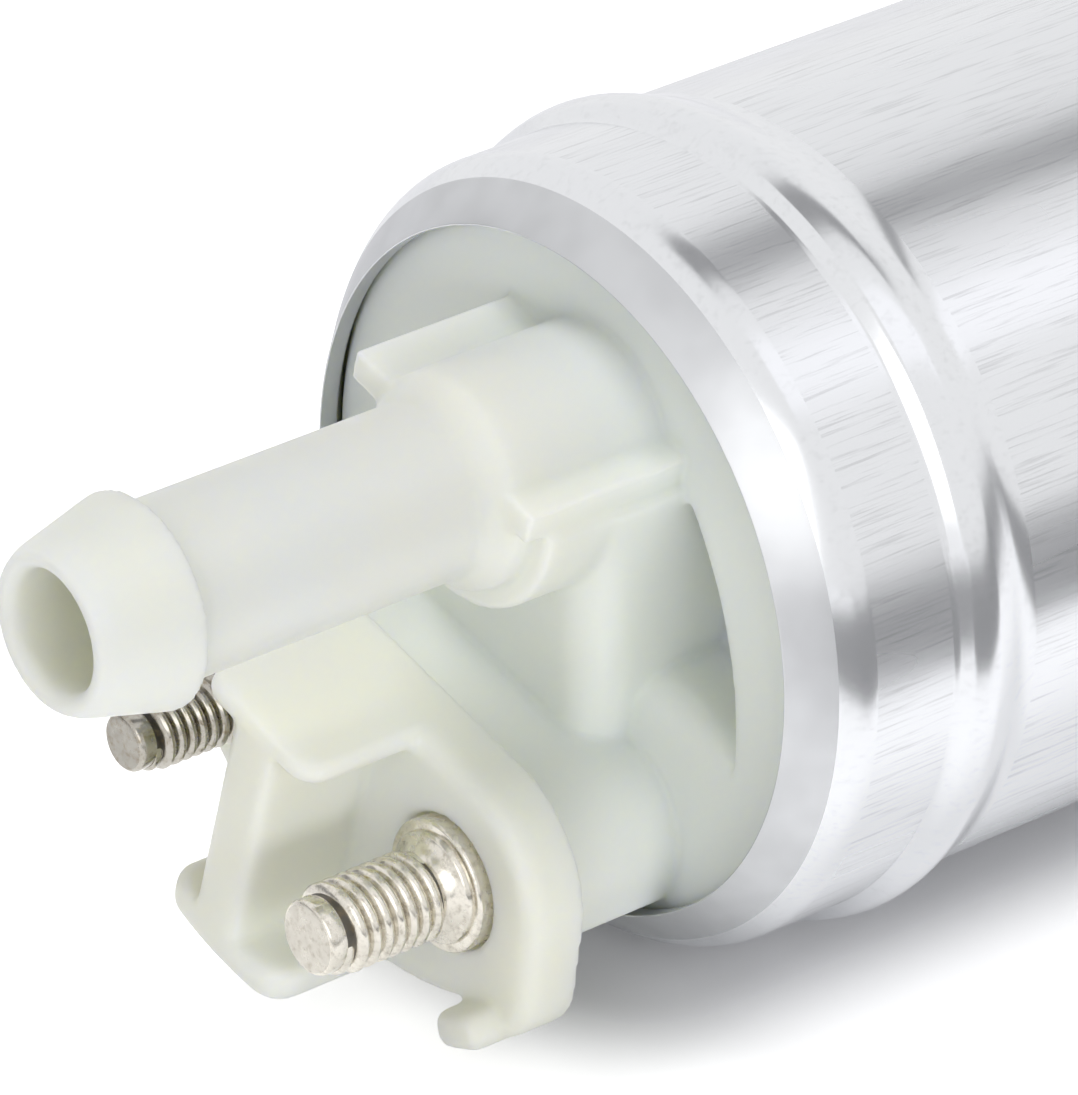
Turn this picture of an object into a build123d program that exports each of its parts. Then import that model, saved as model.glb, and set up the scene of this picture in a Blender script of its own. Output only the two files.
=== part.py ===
"""In-tank electric fuel pump with a barbed outlet, two threaded terminals and a gerotor pumping pair."""

from build123d import *
from math import atan2, cos, degrees, pi, radians, sin, sqrt, tan
import os

os.makedirs("parts", exist_ok=True)

# Places along the pump are stations in millimetres: 0 at the front edge of the casing, growing towards
# the inlet. The origin lies on the pump axis in the barrel, +Y points to the inlet and +Z is up.
ORIGIN_STATION = 60.0

# Casing
CASING_RADIUS = 21.5
CASING_WALL = 1.2
CASING_LENGTH = 112.0
LIP_OPENING_RADIUS = 18.6
LIP_EDGE_RADIUS = 20.8
LIP_DEPTH = 2.3
LIP_ROUNDING_DEPTH = 1.1
BEAD_STATION = 9.2
BEAD_LENGTH = 4.7
BEAD_HEIGHT = 1.05
BEAD_RIDGE_STEP = 0.7
FIT_GAP = 0.05

# Outlet cover body
COVER_FACE = 1.5
COVER_BASE_END = 9.0
COVER_END = 18.0
COVER_SKIRT_WALL = 2.6
CAP_TURN = -16.0
SEAL_STATION = 5.6
SEAL_GROOVE_WIDTH = 2.4
SEAL_SECTION = 1.9

# Outlet nozzle, in the cap's own frame
NOZZLE_PLACE = (-0.4, 9.15)
NOZZLE_MOUTH = -33.4
NOZZLE_RADIUS = 4.75
NOZZLE_BORE = 3.25
NOZZLE_THROAT = 2.9
NOZZLE_THROAT_STATION = -9.8
BARB_STATION = -27.7
BARB_RADIUS = 5.8
BARB_TIP_RADIUS = 4.6
BARB_LENGTH = 4.9
MOUTH_ROUNDING = 0.5
BOSS_RADIUS = 5.8
BOSS_FRONT = -8.2
SHOULDER_LENGTH = 1.6
COLLAR_RADIUS = 7.1
COLLAR_FRONT = -7.3
WING_LEFT = -8.1
WING_RIGHT = 6.4
WING_BOTTOM = 10.4
WING_THICKNESS = 1.8
WING_FRONT = -8.75

# Centre block and side pockets of the cover
BLOCK_LEFT = -7.4
BLOCK_RIGHT = 6.85
BLOCK_FRONT = -4.8
BLOCK_FOOT_FRONT = -1.0
BLOCK_ROUNDING = 2.3
POCKET_RIM_RADIUS = 21.6
POCKET_RIM_CENTRE = -6.8
POCKET_BOTTOM = -2.2
POCKET_FLOOR = 7.0
POCKET_ROUNDING = 2.0

# Terminals
POSITIVE_PLACE = (7.5, -11.15)
NEGATIVE_PLACE = (-8.4, -10.7)
STUD_TIP = -19.05
POSITIVE_RADIUS = 2.5
POSITIVE_PITCH = 0.8
NEGATIVE_RADIUS = 2.0
NEGATIVE_PITCH = 0.7
THREAD_DEPTH_SHARE = 0.61
THREAD_CREST_SHARE = 0.25
STUD_COLLAR_THICKNESS = 1.5
STUD_COLLAR_RIM = 1.15
STUD_COLLAR_GAP = 0.12
STUD_COLLAR_PROUD = 0.6
STUD_SHANK_STEP = 0.3
POINT_LENGTH = 1.2

# Terminal plate, the tower that carries it and the divider between the studs
PLATE_FRONT = -10.1
PLATE_THICKNESS = 3.5
PLATE_TOP = -4.2
PLATE_HALF_WIDTH = 14.6
PLATE_CORNER = 6.9
PLATE_RADIUS = 20.1
PLATE_ROUNDING = 1.0
TOWER_INSET = 2.2
TOWER_RADIUS = 18.1
DIVIDER_FRONT = -17.2
WALL_LEFT = -2.9
WALL_THICKNESS = 3.4
GUARD_LEFT = -5.8
GUARD_RIGHT = 3.3
GUARD_THICKNESS = 1.3
FOOT_LEFT = -5.3
FOOT_RIGHT = 4.3
FOOT_RADIUS = 20.2
FOOT_THICKNESS = 1.9
DIVIDER_CORNER = 1.6
DIVIDER_ROUNDING = 0.55
HOOK_RADIUS = 22.0
HOOK_DEPTH = 2.1
HOOK_FRONT = -12.0
HOOK_ANGLES = (-75.0, -65.5)
HOOK_SIDE_FLARE = (1.0, -7.5)
HOOK_ROOT_CORNER = 3.6
HOOK_END_CORNER = 1.1
HOOK_CORNER = 0.8
HOOK_ROUNDING = 0.7

# Non-return valve in the nozzle boss
VALVE_CHAMBER_RADIUS = 3.9
VALVE_CHAMBER_FRONT = -7.4
VALVE_GUIDE_THICKNESS = 1.6
VALVE_SEAT_STATION = 6.0
VALVE_SEAT_BORE = 2.2
VALVE_HEAD_RADIUS = 3.1
VALVE_HEAD_THICKNESS = 1.4
VALVE_STEM_RADIUS = 1.1
VALVE_SPRING_WIRE = 0.5
VALVE_RUNNING_GAP = 0.08
VALVE_REST_GAP = 0.02
VALVE_STEM_OVERHANG = 1.0
VALVE_SPRING_RADIUS = 2.4
VALVE_FLOW_HOLE = 0.9
VALVE_FLOW_HOLES = 3

# Motor
SHAFT_RADIUS = 2.5
SHAFT_FRONT = 10.6
RUNNING_GAP = 0.03
BUSH_RADIUS = 4.4
BUSH_LENGTH = 5.0
BUSH_BOSS_RADIUS = 5.9
BUSH_BOSS_END = 15.2
BRUSH_OFFSET = 8.7
BRUSH_WIDTH = 5.0
BRUSH_DEPTH = 5.4
BRUSH_SEAT = 9.0
BRUSH_SPRING_LENGTH = 4.2
BRUSH_SIDE_GAP = 0.1
BRUSH_GUIDE_WALL = 1.3
BRUSH_GUIDE_END = 18.4
COMMUTATOR_FACE = 22.0
COMMUTATOR_THICKNESS = 4.5
COMMUTATOR_RADIUS = 12.4
COMMUTATOR_BARS = 8
BRUSH_FACE_GAP = 0.02
CORE_START = 34.0
CORE_RADIUS = 13.7
SLOT_CENTRE_RADIUS = 9.4
SLOT_RADIUS = 2.3
SLOT_MOUTH = 1.3
WINDING_GAP = 0.15
WINDING_HEAD = 6.0
WINDING_END_ROOM = 6.0
AIR_GAP = 0.65
MAGNET_THICKNESS = 3.4
MAGNET_OVERLAP = 8.0
MAGNET_ANGLE = 148.0
CLIP_SHEET = 0.6
STRAP_THICKNESS = 0.8
STRAP_WIDTH = 3.4
STRAP_TAB_END = 16.5
STRAP_PEG_RADIUS = 1.4
STRAP_PEG_HEAD = 0.6

# Pumping section
PLATE_DEPTH = 8.0
ROTOR_DEPTH = 8.0
OUTER_TEETH = 7
TOOTH_CIRCLE_RADIUS = 12.2
TOOTH_RADIUS = 3.6
ROTOR_ECCENTRICITY = 1.15
MESH_GAP = 0.05
ROTOR_SIDE_GAP = 0.03
OUTER_ROTOR_WALL = 3.0
ROTOR_POCKET_GAP = 0.05
DRIVE_PIN_RADIUS = 0.8
DRIVE_PIN_LENGTH = 9.0
DRIVE_SLOT_DEPTH = 2.6
PORT_INNER_RADIUS = 7.9
PORT_OUTER_RADIUS = 10.2
PORT_ANGLES = (25.0, 155.0)
PORT_DEPTH = 2.0
ROTOR_CURVE_STEPS = 16

# Inlet end
INLET_PLACE = (0.0, -9.2)
INLET_NIPPLE_RADIUS = 5.5
INLET_BORE = 3.9
INLET_PASSAGE = 3.4
INLET_NIPPLE_LENGTH = 12.0
INLET_HUB_LENGTH = 1.6
INLET_HUB_RADIUS = 15.4
INLET_COVER_DEPTH = 12.0
INLET_SEAL_DEPTH = 3.2
SHAFT_END_DEPTH = 3.0
THRUST_DEPTH = 1.2
SHAFT_END_PLAY = 0.1
SHAFT_CLEARANCE = 0.3
RELIEF_PLACE = (0.0, 9.6)
RELIEF_CHANNEL = 1.4
RELIEF_SEAT_DEPTH = 2.6
RELIEF_BORE = 2.7
RELIEF_BALL = 2.4
RELIEF_PLUG_LENGTH = 2.4
RELIEF_VENT = 1.0
RELIEF_SPRING_RADIUS = 2.1

CASING_BORE = CASING_RADIUS - CASING_WALL
FITTED_RADIUS = CASING_BORE - FIT_GAP
PLATE_REAR = PLATE_FRONT + PLATE_THICKNESS
INLET_START = CASING_LENGTH - INLET_COVER_DEPTH
PUMP_FLOOR = INLET_START - ROTOR_DEPTH
PUMP_START = PUMP_FLOOR - PLATE_DEPTH
CORE_LENGTH = PUMP_START - WINDING_END_ROOM - WINDING_HEAD - CORE_START
FLUX_RADIUS = CORE_RADIUS + AIR_GAP + MAGNET_THICKNESS
VALLEY_RADIUS = TOOTH_CIRCLE_RADIUS - TOOTH_RADIUS + 2 * ROTOR_ECCENTRICITY + MESH_GAP
OUTER_ROTOR_RADIUS = VALLEY_RADIUS + OUTER_ROTOR_WALL


def cross(station):
    """Plane across the pump at a station, looking at the outlet end: x right, y up, extruding forwards."""
    return Plane.XZ.offset(ORIGIN_STATION - station)


def cap(station):
    """The same plane turned with the outlet cover, so that its y runs from the studs to the nozzle."""
    turn = radians(CAP_TURN)
    return Plane(
        origin=(0, station - ORIGIN_STATION, 0), x_dir=(cos(turn), 0, sin(turn)), z_dir=(0, -1, 0)
    )


def cap_side(left):
    """Plane along the pump at an x of the cap: x runs to the nozzle, y forwards from station 0."""
    turn = radians(CAP_TURN)
    return Plane(
        origin=(left * cos(turn), -ORIGIN_STATION, left * sin(turn)),
        x_dir=(-sin(turn), 0, cos(turn)), z_dir=(cos(turn), 0, sin(turn)),
    )


def cap_place(edge):
    """Middle of an edge in the cap's own frame, its z counted forwards from station 0."""
    return cap(0.0).to_local_coords(edge.center())


def near(value, targets):
    """Whether a measure is one of the given ones."""
    return min(abs(value - target) for target in targets) < FIT_GAP


def cap_point(place):
    """World X and Z of a place given in the cap's own frame."""
    turn = radians(CAP_TURN)
    x = place[0] * cos(turn) - place[1] * sin(turn)
    z = place[0] * sin(turn) + place[1] * cos(turn)
    return (x, z)


def spin(outline, at=(0.0, 0.0), mode=Mode.ADD):
    """Turn an outline of (station, radius) points about a line along the pump through X, Z = at."""
    x, z = at
    axial = Plane(origin=(x, -ORIGIN_STATION, z), x_dir=(0, 1, 0), z_dir=(1, 0, 0))
    with BuildSketch(axial) as profile:
        with BuildLine():
            Polyline(*outline, close=True)
        make_face()
    revolve(profile.sketch, axis=Axis((x, 0, z), (0, 1, 0)), mode=mode)


def ring(start, end, outer, inner=0.0, at=(0.0, 0.0), mode=Mode.ADD):
    """Plain round bar or tube between two stations."""
    spin([(start, inner), (start, outer), (end, outer), (end, inner)], at, mode)


def bar(plane, left, right, bottom, top, length, mode=Mode.ADD):
    """Rectangular bar on a plane across the pump, running forwards."""
    with BuildSketch(plane) as section:
        with Locations(((left + right) / 2, (bottom + top) / 2)):
            Rectangle(right - left, top - bottom)
    extrude(section.sketch, amount=length, mode=mode)


def rounded_deck(plane, half_width, top, corner, limit_radius):
    """Deck below a straight top edge, with rounded shoulders, cut to a circle round the pump axis."""
    with BuildSketch(plane) as deck:
        with Locations((0, top - limit_radius)):
            RectangleRounded(2 * half_width, 2 * limit_radius, corner)
        Circle(limit_radius, mode=Mode.INTERSECT)
    return deck.sketch


def arc_band(plane, inner, outer, first, last, corner=0.0):
    """Part of a ring between two angles in degrees, its four corners rounded if a radius is given."""
    span = last - first
    with BuildSketch(plane) as band:
        with BuildLine():
            CenterArc((0, 0), outer, first, span)
            CenterArc((0, 0), inner, first, span)
            Line(
                (inner * cos(radians(first)), inner * sin(radians(first))),
                (outer * cos(radians(first)), outer * sin(radians(first))),
            )
            Line(
                (inner * cos(radians(last)), inner * sin(radians(last))),
                (outer * cos(radians(last)), outer * sin(radians(last))),
            )
        make_face()
        if corner > 0:
            fillet(band.vertices(), corner)
    return band.sketch


def save(piece, name):
    """Label a finished piece and write it out."""
    piece.part.label = name
    export_step(piece.part, f"parts/{name}.step")


# Casing tube: turned-in lips at both ends and a rolled bead behind the front one
lip_slope = (CASING_BORE - LIP_OPENING_RADIUS) / (LIP_EDGE_RADIUS - LIP_OPENING_RADIUS) * LIP_DEPTH
bead_ridge = BEAD_STATION + BEAD_RIDGE_STEP
bead_peak = bead_ridge + 0.25 * BEAD_LENGTH
bead_end = BEAD_STATION + BEAD_LENGTH
with BuildPart() as shell:
    spin([
        (0, LIP_OPENING_RADIUS),
        (LIP_DEPTH, LIP_EDGE_RADIUS),
        (LIP_DEPTH + LIP_ROUNDING_DEPTH, CASING_RADIUS),
        (BEAD_STATION, CASING_RADIUS),
        (bead_ridge, CASING_RADIUS + 0.7 * BEAD_HEIGHT),
        (bead_peak, CASING_RADIUS + BEAD_HEIGHT),
        (bead_end, CASING_RADIUS),
        (CASING_LENGTH - LIP_DEPTH - LIP_ROUNDING_DEPTH, CASING_RADIUS),
        (CASING_LENGTH - LIP_DEPTH, LIP_EDGE_RADIUS),
        (CASING_LENGTH, LIP_OPENING_RADIUS),
        (CASING_LENGTH - CASING_WALL, LIP_OPENING_RADIUS),
        (CASING_LENGTH - CASING_WALL - lip_slope, CASING_BORE),
        (bead_end, CASING_BORE),
        (bead_peak, CASING_BORE + BEAD_HEIGHT),
        (bead_ridge, CASING_BORE),
        (CASING_WALL + lip_slope, CASING_BORE),
        (CASING_WALL, LIP_OPENING_RADIUS),
    ])
save(shell, "shell")

# Outlet cover: terminal plate, centre block, plug, tower, divider, nozzle, boss and wing in one moulding
nozzle_at = cap_point(NOZZLE_PLACE)
positive_at = cap_point(POSITIVE_PLACE)
negative_at = cap_point(NEGATIVE_PLACE)
skirt_bore = FITTED_RADIUS - COVER_SKIRT_WALL
seal_floor = CASING_BORE - SEAL_SECTION
shoulder = CASING_WALL + lip_slope + FIT_GAP
positive_collar = POSITIVE_RADIUS + STUD_COLLAR_RIM
negative_collar = NEGATIVE_RADIUS + STUD_COLLAR_RIM
collar_seat = PLATE_FRONT + STUD_COLLAR_THICKNESS - STUD_COLLAR_PROUD
brush_hole_width = BRUSH_WIDTH / 2 + BRUSH_SIDE_GAP
brush_hole_depth = BRUSH_DEPTH / 2 + BRUSH_SIDE_GAP
guide_half_width = brush_hole_width + BRUSH_GUIDE_WALL
guide_half_depth = brush_hole_depth + BRUSH_GUIDE_WALL
divider_root = PLATE_FRONT + PLATE_ROUNDING
wall_right = WALL_LEFT + WALL_THICKNESS
mouth_crown = (BARB_TIP_RADIUS + NOZZLE_BORE) / 2
tower_top = PLATE_TOP - TOWER_INSET

# Divider between the studs: wall with a curved foot below and a guard above, all rounded in front
with BuildPart() as divider:
    with BuildSketch(cap(divider_root)) as divider_outline:
        with Locations(((WALL_LEFT + wall_right) / 2, (PLATE_TOP - FOOT_RADIUS) / 2)):
            Rectangle(WALL_THICKNESS, FOOT_RADIUS + PLATE_TOP)
        with Locations(((FOOT_LEFT + FOOT_RIGHT) / 2, -FOOT_RADIUS)):
            Rectangle(FOOT_RIGHT - FOOT_LEFT, FOOT_RADIUS)
        Circle(FOOT_RADIUS, mode=Mode.INTERSECT)
        with Locations(((GUARD_LEFT + GUARD_RIGHT) / 2, PLATE_TOP - GUARD_THICKNESS / 2)):
            Rectangle(GUARD_RIGHT - GUARD_LEFT, GUARD_THICKNESS)
    with BuildSketch(cap(divider_root)) as beside_wall:
        Circle(FOOT_RADIUS - FOOT_THICKNESS)
        with Locations((0, PLATE_TOP - GUARD_THICKNESS + FOOT_RADIUS)):
            Rectangle(2 * FOOT_RADIUS, 2 * FOOT_RADIUS, mode=Mode.SUBTRACT)
        with Locations(((WALL_LEFT + wall_right) / 2, 0)):
            Rectangle(WALL_THICKNESS, 3 * FOOT_RADIUS, mode=Mode.SUBTRACT)
    extrude(divider_outline.sketch - beside_wall.sketch, amount=divider_root - DIVIDER_FRONT)
    divider_corners = divider.edges().group_by(Axis.Y)[0].filter_by(
        lambda edge: near(cap_place(edge).X, (GUARD_LEFT, GUARD_RIGHT, FOOT_LEFT, FOOT_RIGHT))
    )
    fillet(divider_corners, DIVIDER_CORNER)
    smooth_joins = (
        GUARD_LEFT + DIVIDER_CORNER, GUARD_RIGHT - DIVIDER_CORNER,
        FOOT_LEFT + DIVIDER_CORNER, FOOT_RIGHT - DIVIDER_CORNER,
    )
    divider_rims = divider.edges().group_by(Axis.Y)[0].filter_by(
        lambda edge: not near(cap_place(edge).X, smooth_joins)
    )
    fillet(divider_rims, DIVIDER_ROUNDING)

with BuildPart() as outlet_cover:
    # Centre block: its front leans back from the wing down to the tower and is rounded on the right
    with BuildSketch(cap_side(BLOCK_LEFT)) as block:
        with BuildLine():
            Polyline(
                (WING_BOTTOM, -COVER_FACE),
                (WING_BOTTOM, -BLOCK_FRONT),
                (tower_top, -BLOCK_FOOT_FRONT),
                (tower_top, -COVER_FACE),
                close=True,
            )
        make_face()
    extrude(block.sketch, amount=BLOCK_RIGHT - BLOCK_LEFT)
    block_right_edges = outlet_cover.edges().filter_by(
        lambda edge: near(cap_place(edge).X, (BLOCK_RIGHT,))
    )
    fillet(block_right_edges.sort_by(Axis.Y)[0], BLOCK_ROUNDING)

    # Terminal plate with its rounded front rim; its lower right edge widens and ends in a short hook
    side_top = PLATE_TOP - PLATE_CORNER
    with BuildSketch(cap(PLATE_REAR)) as hook_root:
        with BuildLine():
            hook_end_slope = tan(radians(HOOK_ANGLES[0] - CAP_TURN))
            Polyline(
                (side_top / hook_end_slope, side_top),
                (PLATE_HALF_WIDTH, side_top),
                (PLATE_HALF_WIDTH + HOOK_SIDE_FLARE[0], side_top + HOOK_SIDE_FLARE[1]),
                (PLATE_HALF_WIDTH, -HOOK_RADIUS),
                (-HOOK_RADIUS / hook_end_slope, -HOOK_RADIUS),
                close=True,
            )
        make_face()
        Circle(HOOK_RADIUS, mode=Mode.INTERSECT)
    extrude(hook_root.sketch, amount=PLATE_THICKNESS)
    extrude(
        rounded_deck(cap(PLATE_REAR), PLATE_HALF_WIDTH, PLATE_TOP, PLATE_CORNER, PLATE_RADIUS),
        amount=PLATE_THICKNESS,
    )
    hook_corners = outlet_cover.edges().filter_by(Axis.Y).filter_by(
        lambda edge: near(sqrt(edge.center().X ** 2 + edge.center().Z ** 2), (HOOK_RADIUS,))
    ).sort_by(Axis.X)
    fillet(hook_corners[-1], HOOK_ROOT_CORNER)
    fillet(hook_corners[0], HOOK_END_CORNER)
    fillet(outlet_cover.edges().group_by(Axis.Y)[0], PLATE_ROUNDING)
    extrude(
        arc_band(
            cross(divider_root), HOOK_RADIUS - HOOK_DEPTH, HOOK_RADIUS, *HOOK_ANGLES,
            corner=HOOK_CORNER,
        ),
        amount=divider_root - HOOK_FRONT,
    )
    fillet(outlet_cover.edges().group_by(Axis.Y)[0], HOOK_ROUNDING)
    add(divider.part)

    # Plug with the seal groove and the skirt
    spin([
        (COVER_FACE, 0),
        (COVER_FACE, LIP_OPENING_RADIUS - FIT_GAP),
        (shoulder, FITTED_RADIUS),
        (SEAL_STATION, FITTED_RADIUS),
        (SEAL_STATION, seal_floor),
        (SEAL_STATION + SEAL_GROOVE_WIDTH, seal_floor),
        (SEAL_STATION + SEAL_GROOVE_WIDTH, FITTED_RADIUS),
        (COVER_END, FITTED_RADIUS),
        (COVER_END, skirt_bore),
        (COVER_BASE_END, skirt_bore),
        (COVER_BASE_END, 0),
    ])

    # Tower from the cover's face to the plate
    extrude(
        rounded_deck(
            cap(COVER_FACE), PLATE_HALF_WIDTH - TOWER_INSET, tower_top,
            PLATE_CORNER - TOWER_INSET, TOWER_RADIUS,
        ),
        amount=COVER_FACE - PLATE_REAR,
    )

    # Nozzle: boss, soft shoulder, tube and barb with a rounded mouth
    spin(
        [
            (COVER_FACE, 0),
            (COVER_FACE, BOSS_RADIUS),
            (BOSS_FRONT, BOSS_RADIUS),
            (BOSS_FRONT - SHOULDER_LENGTH, NOZZLE_RADIUS),
            (BARB_STATION, NOZZLE_RADIUS),
            (BARB_STATION, BARB_RADIUS),
            (BARB_STATION - BARB_LENGTH, BARB_TIP_RADIUS),
            (NOZZLE_MOUTH, mouth_crown + MOUTH_ROUNDING / 2),
            (NOZZLE_MOUTH, mouth_crown - MOUTH_ROUNDING / 2),
            (NOZZLE_MOUTH + MOUTH_ROUNDING, NOZZLE_BORE),
            (NOZZLE_MOUTH + MOUTH_ROUNDING, 0),
        ],
        nozzle_at,
    )

    # Half-round collar under the boss, and the wing across it
    with BuildSketch(cap(COVER_FACE)) as collar:
        with Locations(NOZZLE_PLACE):
            Circle(COLLAR_RADIUS)
        with Locations((NOZZLE_PLACE[0], WING_BOTTOM + COLLAR_RADIUS)):
            Rectangle(2 * COLLAR_RADIUS, 2 * COLLAR_RADIUS, mode=Mode.SUBTRACT)
    extrude(collar.sketch, amount=COVER_FACE - COLLAR_FRONT)
    bar(
        cap(COVER_FACE), WING_LEFT, WING_RIGHT, WING_BOTTOM, WING_BOTTOM + WING_THICKNESS,
        COVER_FACE - WING_FRONT,
    )

    # Deep pockets beside the centre block, inside a wide curved rim and with a rounded lower edge
    for side, flank in ((-1, -BLOCK_LEFT), (1, BLOCK_RIGHT)):
        with BuildSketch(cap(POCKET_FLOOR)) as pocket:
            with Locations((side * (flank + POCKET_RIM_RADIUS / 2), (POCKET_BOTTOM + WING_BOTTOM) / 2)):
                Rectangle(POCKET_RIM_RADIUS, WING_BOTTOM - POCKET_BOTTOM)
            with Locations((side * POCKET_RIM_CENTRE, POCKET_RIM_CENTRE)):
                Circle(POCKET_RIM_RADIUS, mode=Mode.INTERSECT)
        extrude(pocket.sketch, amount=POCKET_FLOOR - COVER_FACE, mode=Mode.SUBTRACT)
    pocket_rims = outlet_cover.edges().filter_by(
        lambda edge: near(cap_place(edge).Z, (-COVER_FACE,))
        and near(cap_place(edge).Y, (POCKET_BOTTOM,))
    )
    fillet(pocket_rims, POCKET_ROUNDING)

    # Bush boss and brush guides on the motor side
    ring(COVER_BASE_END, BUSH_BOSS_END, BUSH_BOSS_RADIUS)
    for side in (-1, 1):
        middle = side * BRUSH_OFFSET
        bar(
            cap(BRUSH_GUIDE_END), middle - guide_half_depth, middle + guide_half_depth,
            -guide_half_width, guide_half_width, BRUSH_GUIDE_END - COVER_BASE_END,
        )
        bar(
            cap(BRUSH_GUIDE_END), middle - brush_hole_depth, middle + brush_hole_depth,
            -brush_hole_width, brush_hole_width, BRUSH_GUIDE_END - BRUSH_SEAT, mode=Mode.SUBTRACT,
        )

    # Bores: bush pocket, nozzle, valve chamber, and stud holes with collar recesses
    ring(BUSH_BOSS_END - BUSH_LENGTH, BUSH_BOSS_END, BUSH_RADIUS, mode=Mode.SUBTRACT)
    ring(NOZZLE_MOUTH, NOZZLE_THROAT_STATION, NOZZLE_BORE, at=nozzle_at, mode=Mode.SUBTRACT)
    ring(
        NOZZLE_THROAT_STATION, VALVE_CHAMBER_FRONT, NOZZLE_THROAT, at=nozzle_at,
        mode=Mode.SUBTRACT,
    )
    ring(VALVE_CHAMBER_FRONT, COVER_END, VALVE_CHAMBER_RADIUS, at=nozzle_at, mode=Mode.SUBTRACT)
    for place, shank, rim in (
        (positive_at, POSITIVE_RADIUS - STUD_SHANK_STEP, positive_collar),
        (negative_at, NEGATIVE_RADIUS - STUD_SHANK_STEP, negative_collar),
    ):
        ring(PLATE_FRONT, COVER_BASE_END, shank, at=place, mode=Mode.SUBTRACT)
        ring(PLATE_FRONT, collar_seat, rim + STUD_COLLAR_GAP, at=place, mode=Mode.SUBTRACT)
save(outlet_cover, "outlet_cover")

# Seal rings between the casing and its two covers
for name, start in (
    ("cover_seal", SEAL_STATION),
    ("inlet_seal", INLET_START + INLET_SEAL_DEPTH),
):
    with BuildPart() as seal:
        axial = Plane(origin=(0, -ORIGIN_STATION, 0), x_dir=(0, 1, 0), z_dir=(1, 0, 0))
        with BuildSketch(axial):
            with Locations((start + SEAL_GROOVE_WIDTH / 2, CASING_BORE - SEAL_SECTION / 2)):
                Circle(SEAL_SECTION / 2)
        revolve(axis=Axis.Y)
    save(seal, name)

# Threaded studs: reduced point, ring grooves at the thread's pitch, neck, collar, shank and rivet peg
collar_front = PLATE_FRONT - STUD_COLLAR_PROUD
for name, at, radius, pitch, collar in (
    ("positive_stud", positive_at, POSITIVE_RADIUS, POSITIVE_PITCH, positive_collar),
    ("negative_stud", negative_at, NEGATIVE_RADIUS, NEGATIVE_PITCH, negative_collar),
):
    root = radius - THREAD_DEPTH_SHARE * pitch
    point = root - 0.1
    thread_start = STUD_TIP + POINT_LENGTH
    turns = int((collar_front - pitch - thread_start) / pitch)
    outline = [
        (STUD_TIP, 0),
        (STUD_TIP, point - POINT_LENGTH / 4),
        (STUD_TIP + POINT_LENGTH / 4, point),
        (thread_start, point),
        (thread_start, root),
    ]
    for turn in range(turns):
        station = thread_start + turn * pitch
        outline.append((station + 0.3 * pitch, radius))
        outline.append((station + (0.3 + THREAD_CREST_SHARE) * pitch, radius))
        outline.append((station + pitch, root))
    outline += [
        (collar_front - STUD_COLLAR_PROUD, root),
        (collar_front, radius + STUD_COLLAR_PROUD),
        (collar_front, collar),
        (collar_seat, collar),
        (collar_seat, radius - STUD_SHANK_STEP),
        (COVER_BASE_END, radius - STUD_SHANK_STEP),
        (COVER_BASE_END, STRAP_PEG_RADIUS),
        (COVER_BASE_END + STRAP_THICKNESS + STRAP_PEG_HEAD, STRAP_PEG_RADIUS),
        (COVER_BASE_END + STRAP_THICKNESS + STRAP_PEG_HEAD, 0),
    ]
    with BuildPart() as stud:
        spin(outline, at)
    save(stud, name)

# Contact straps from the studs' pegs to the brush guides, brushes and their springs
for name, side, place, at in (
    ("positive", 1, POSITIVE_PLACE, positive_at),
    ("negative", -1, NEGATIVE_PLACE, negative_at),
):
    strap_left = place[0] - STRAP_WIDTH / 2
    strap_right = place[0] + STRAP_WIDTH / 2
    with BuildPart() as strap:
        bar(
            cap(COVER_BASE_END + STRAP_THICKNESS), strap_left, strap_right,
            place[1] - STRAP_WIDTH / 2, -guide_half_width, STRAP_THICKNESS,
        )
        bar(
            cap(STRAP_TAB_END), strap_left, strap_right,
            -guide_half_width - STRAP_THICKNESS, -guide_half_width, STRAP_TAB_END - COVER_BASE_END,
        )
        ring(
            COVER_BASE_END, COVER_BASE_END + STRAP_THICKNESS, STRAP_PEG_RADIUS, at=at,
            mode=Mode.SUBTRACT,
        )
    save(strap, f"{name}_strap")

    middle = side * BRUSH_OFFSET
    brush_start = BRUSH_SEAT + BRUSH_SPRING_LENGTH
    brush_end = COMMUTATOR_FACE - BRUSH_FACE_GAP
    with BuildPart() as brush:
        bar(
            cap(brush_end), middle - BRUSH_DEPTH / 2, middle + BRUSH_DEPTH / 2,
            -BRUSH_WIDTH / 2, BRUSH_WIDTH / 2, brush_end - brush_start,
        )
    save(brush, f"{name}_brush")

    coil_radius = BRUSH_WIDTH / 2 - BRUSH_SIDE_GAP
    with BuildPart() as brush_spring:
        ring(BRUSH_SEAT, brush_start, coil_radius, coil_radius - VALVE_SPRING_WIRE, at=cap_point((middle, 0)))
    save(brush_spring, f"{name}_brush_spring")

# Non-return valve in the nozzle boss: pressed seat, guide with flow holes, poppet and spring
head_front = VALVE_SEAT_STATION - VALVE_REST_GAP - VALVE_HEAD_THICKNESS
guide_rear = VALVE_CHAMBER_FRONT + VALVE_GUIDE_THICKNESS
guide_hole = VALVE_STEM_RADIUS + VALVE_RUNNING_GAP
with BuildPart() as check_valve_seat:
    ring(VALVE_SEAT_STATION, COVER_BASE_END, VALVE_CHAMBER_RADIUS, VALVE_SEAT_BORE, at=nozzle_at)
save(check_valve_seat, "check_valve_seat")

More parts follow.
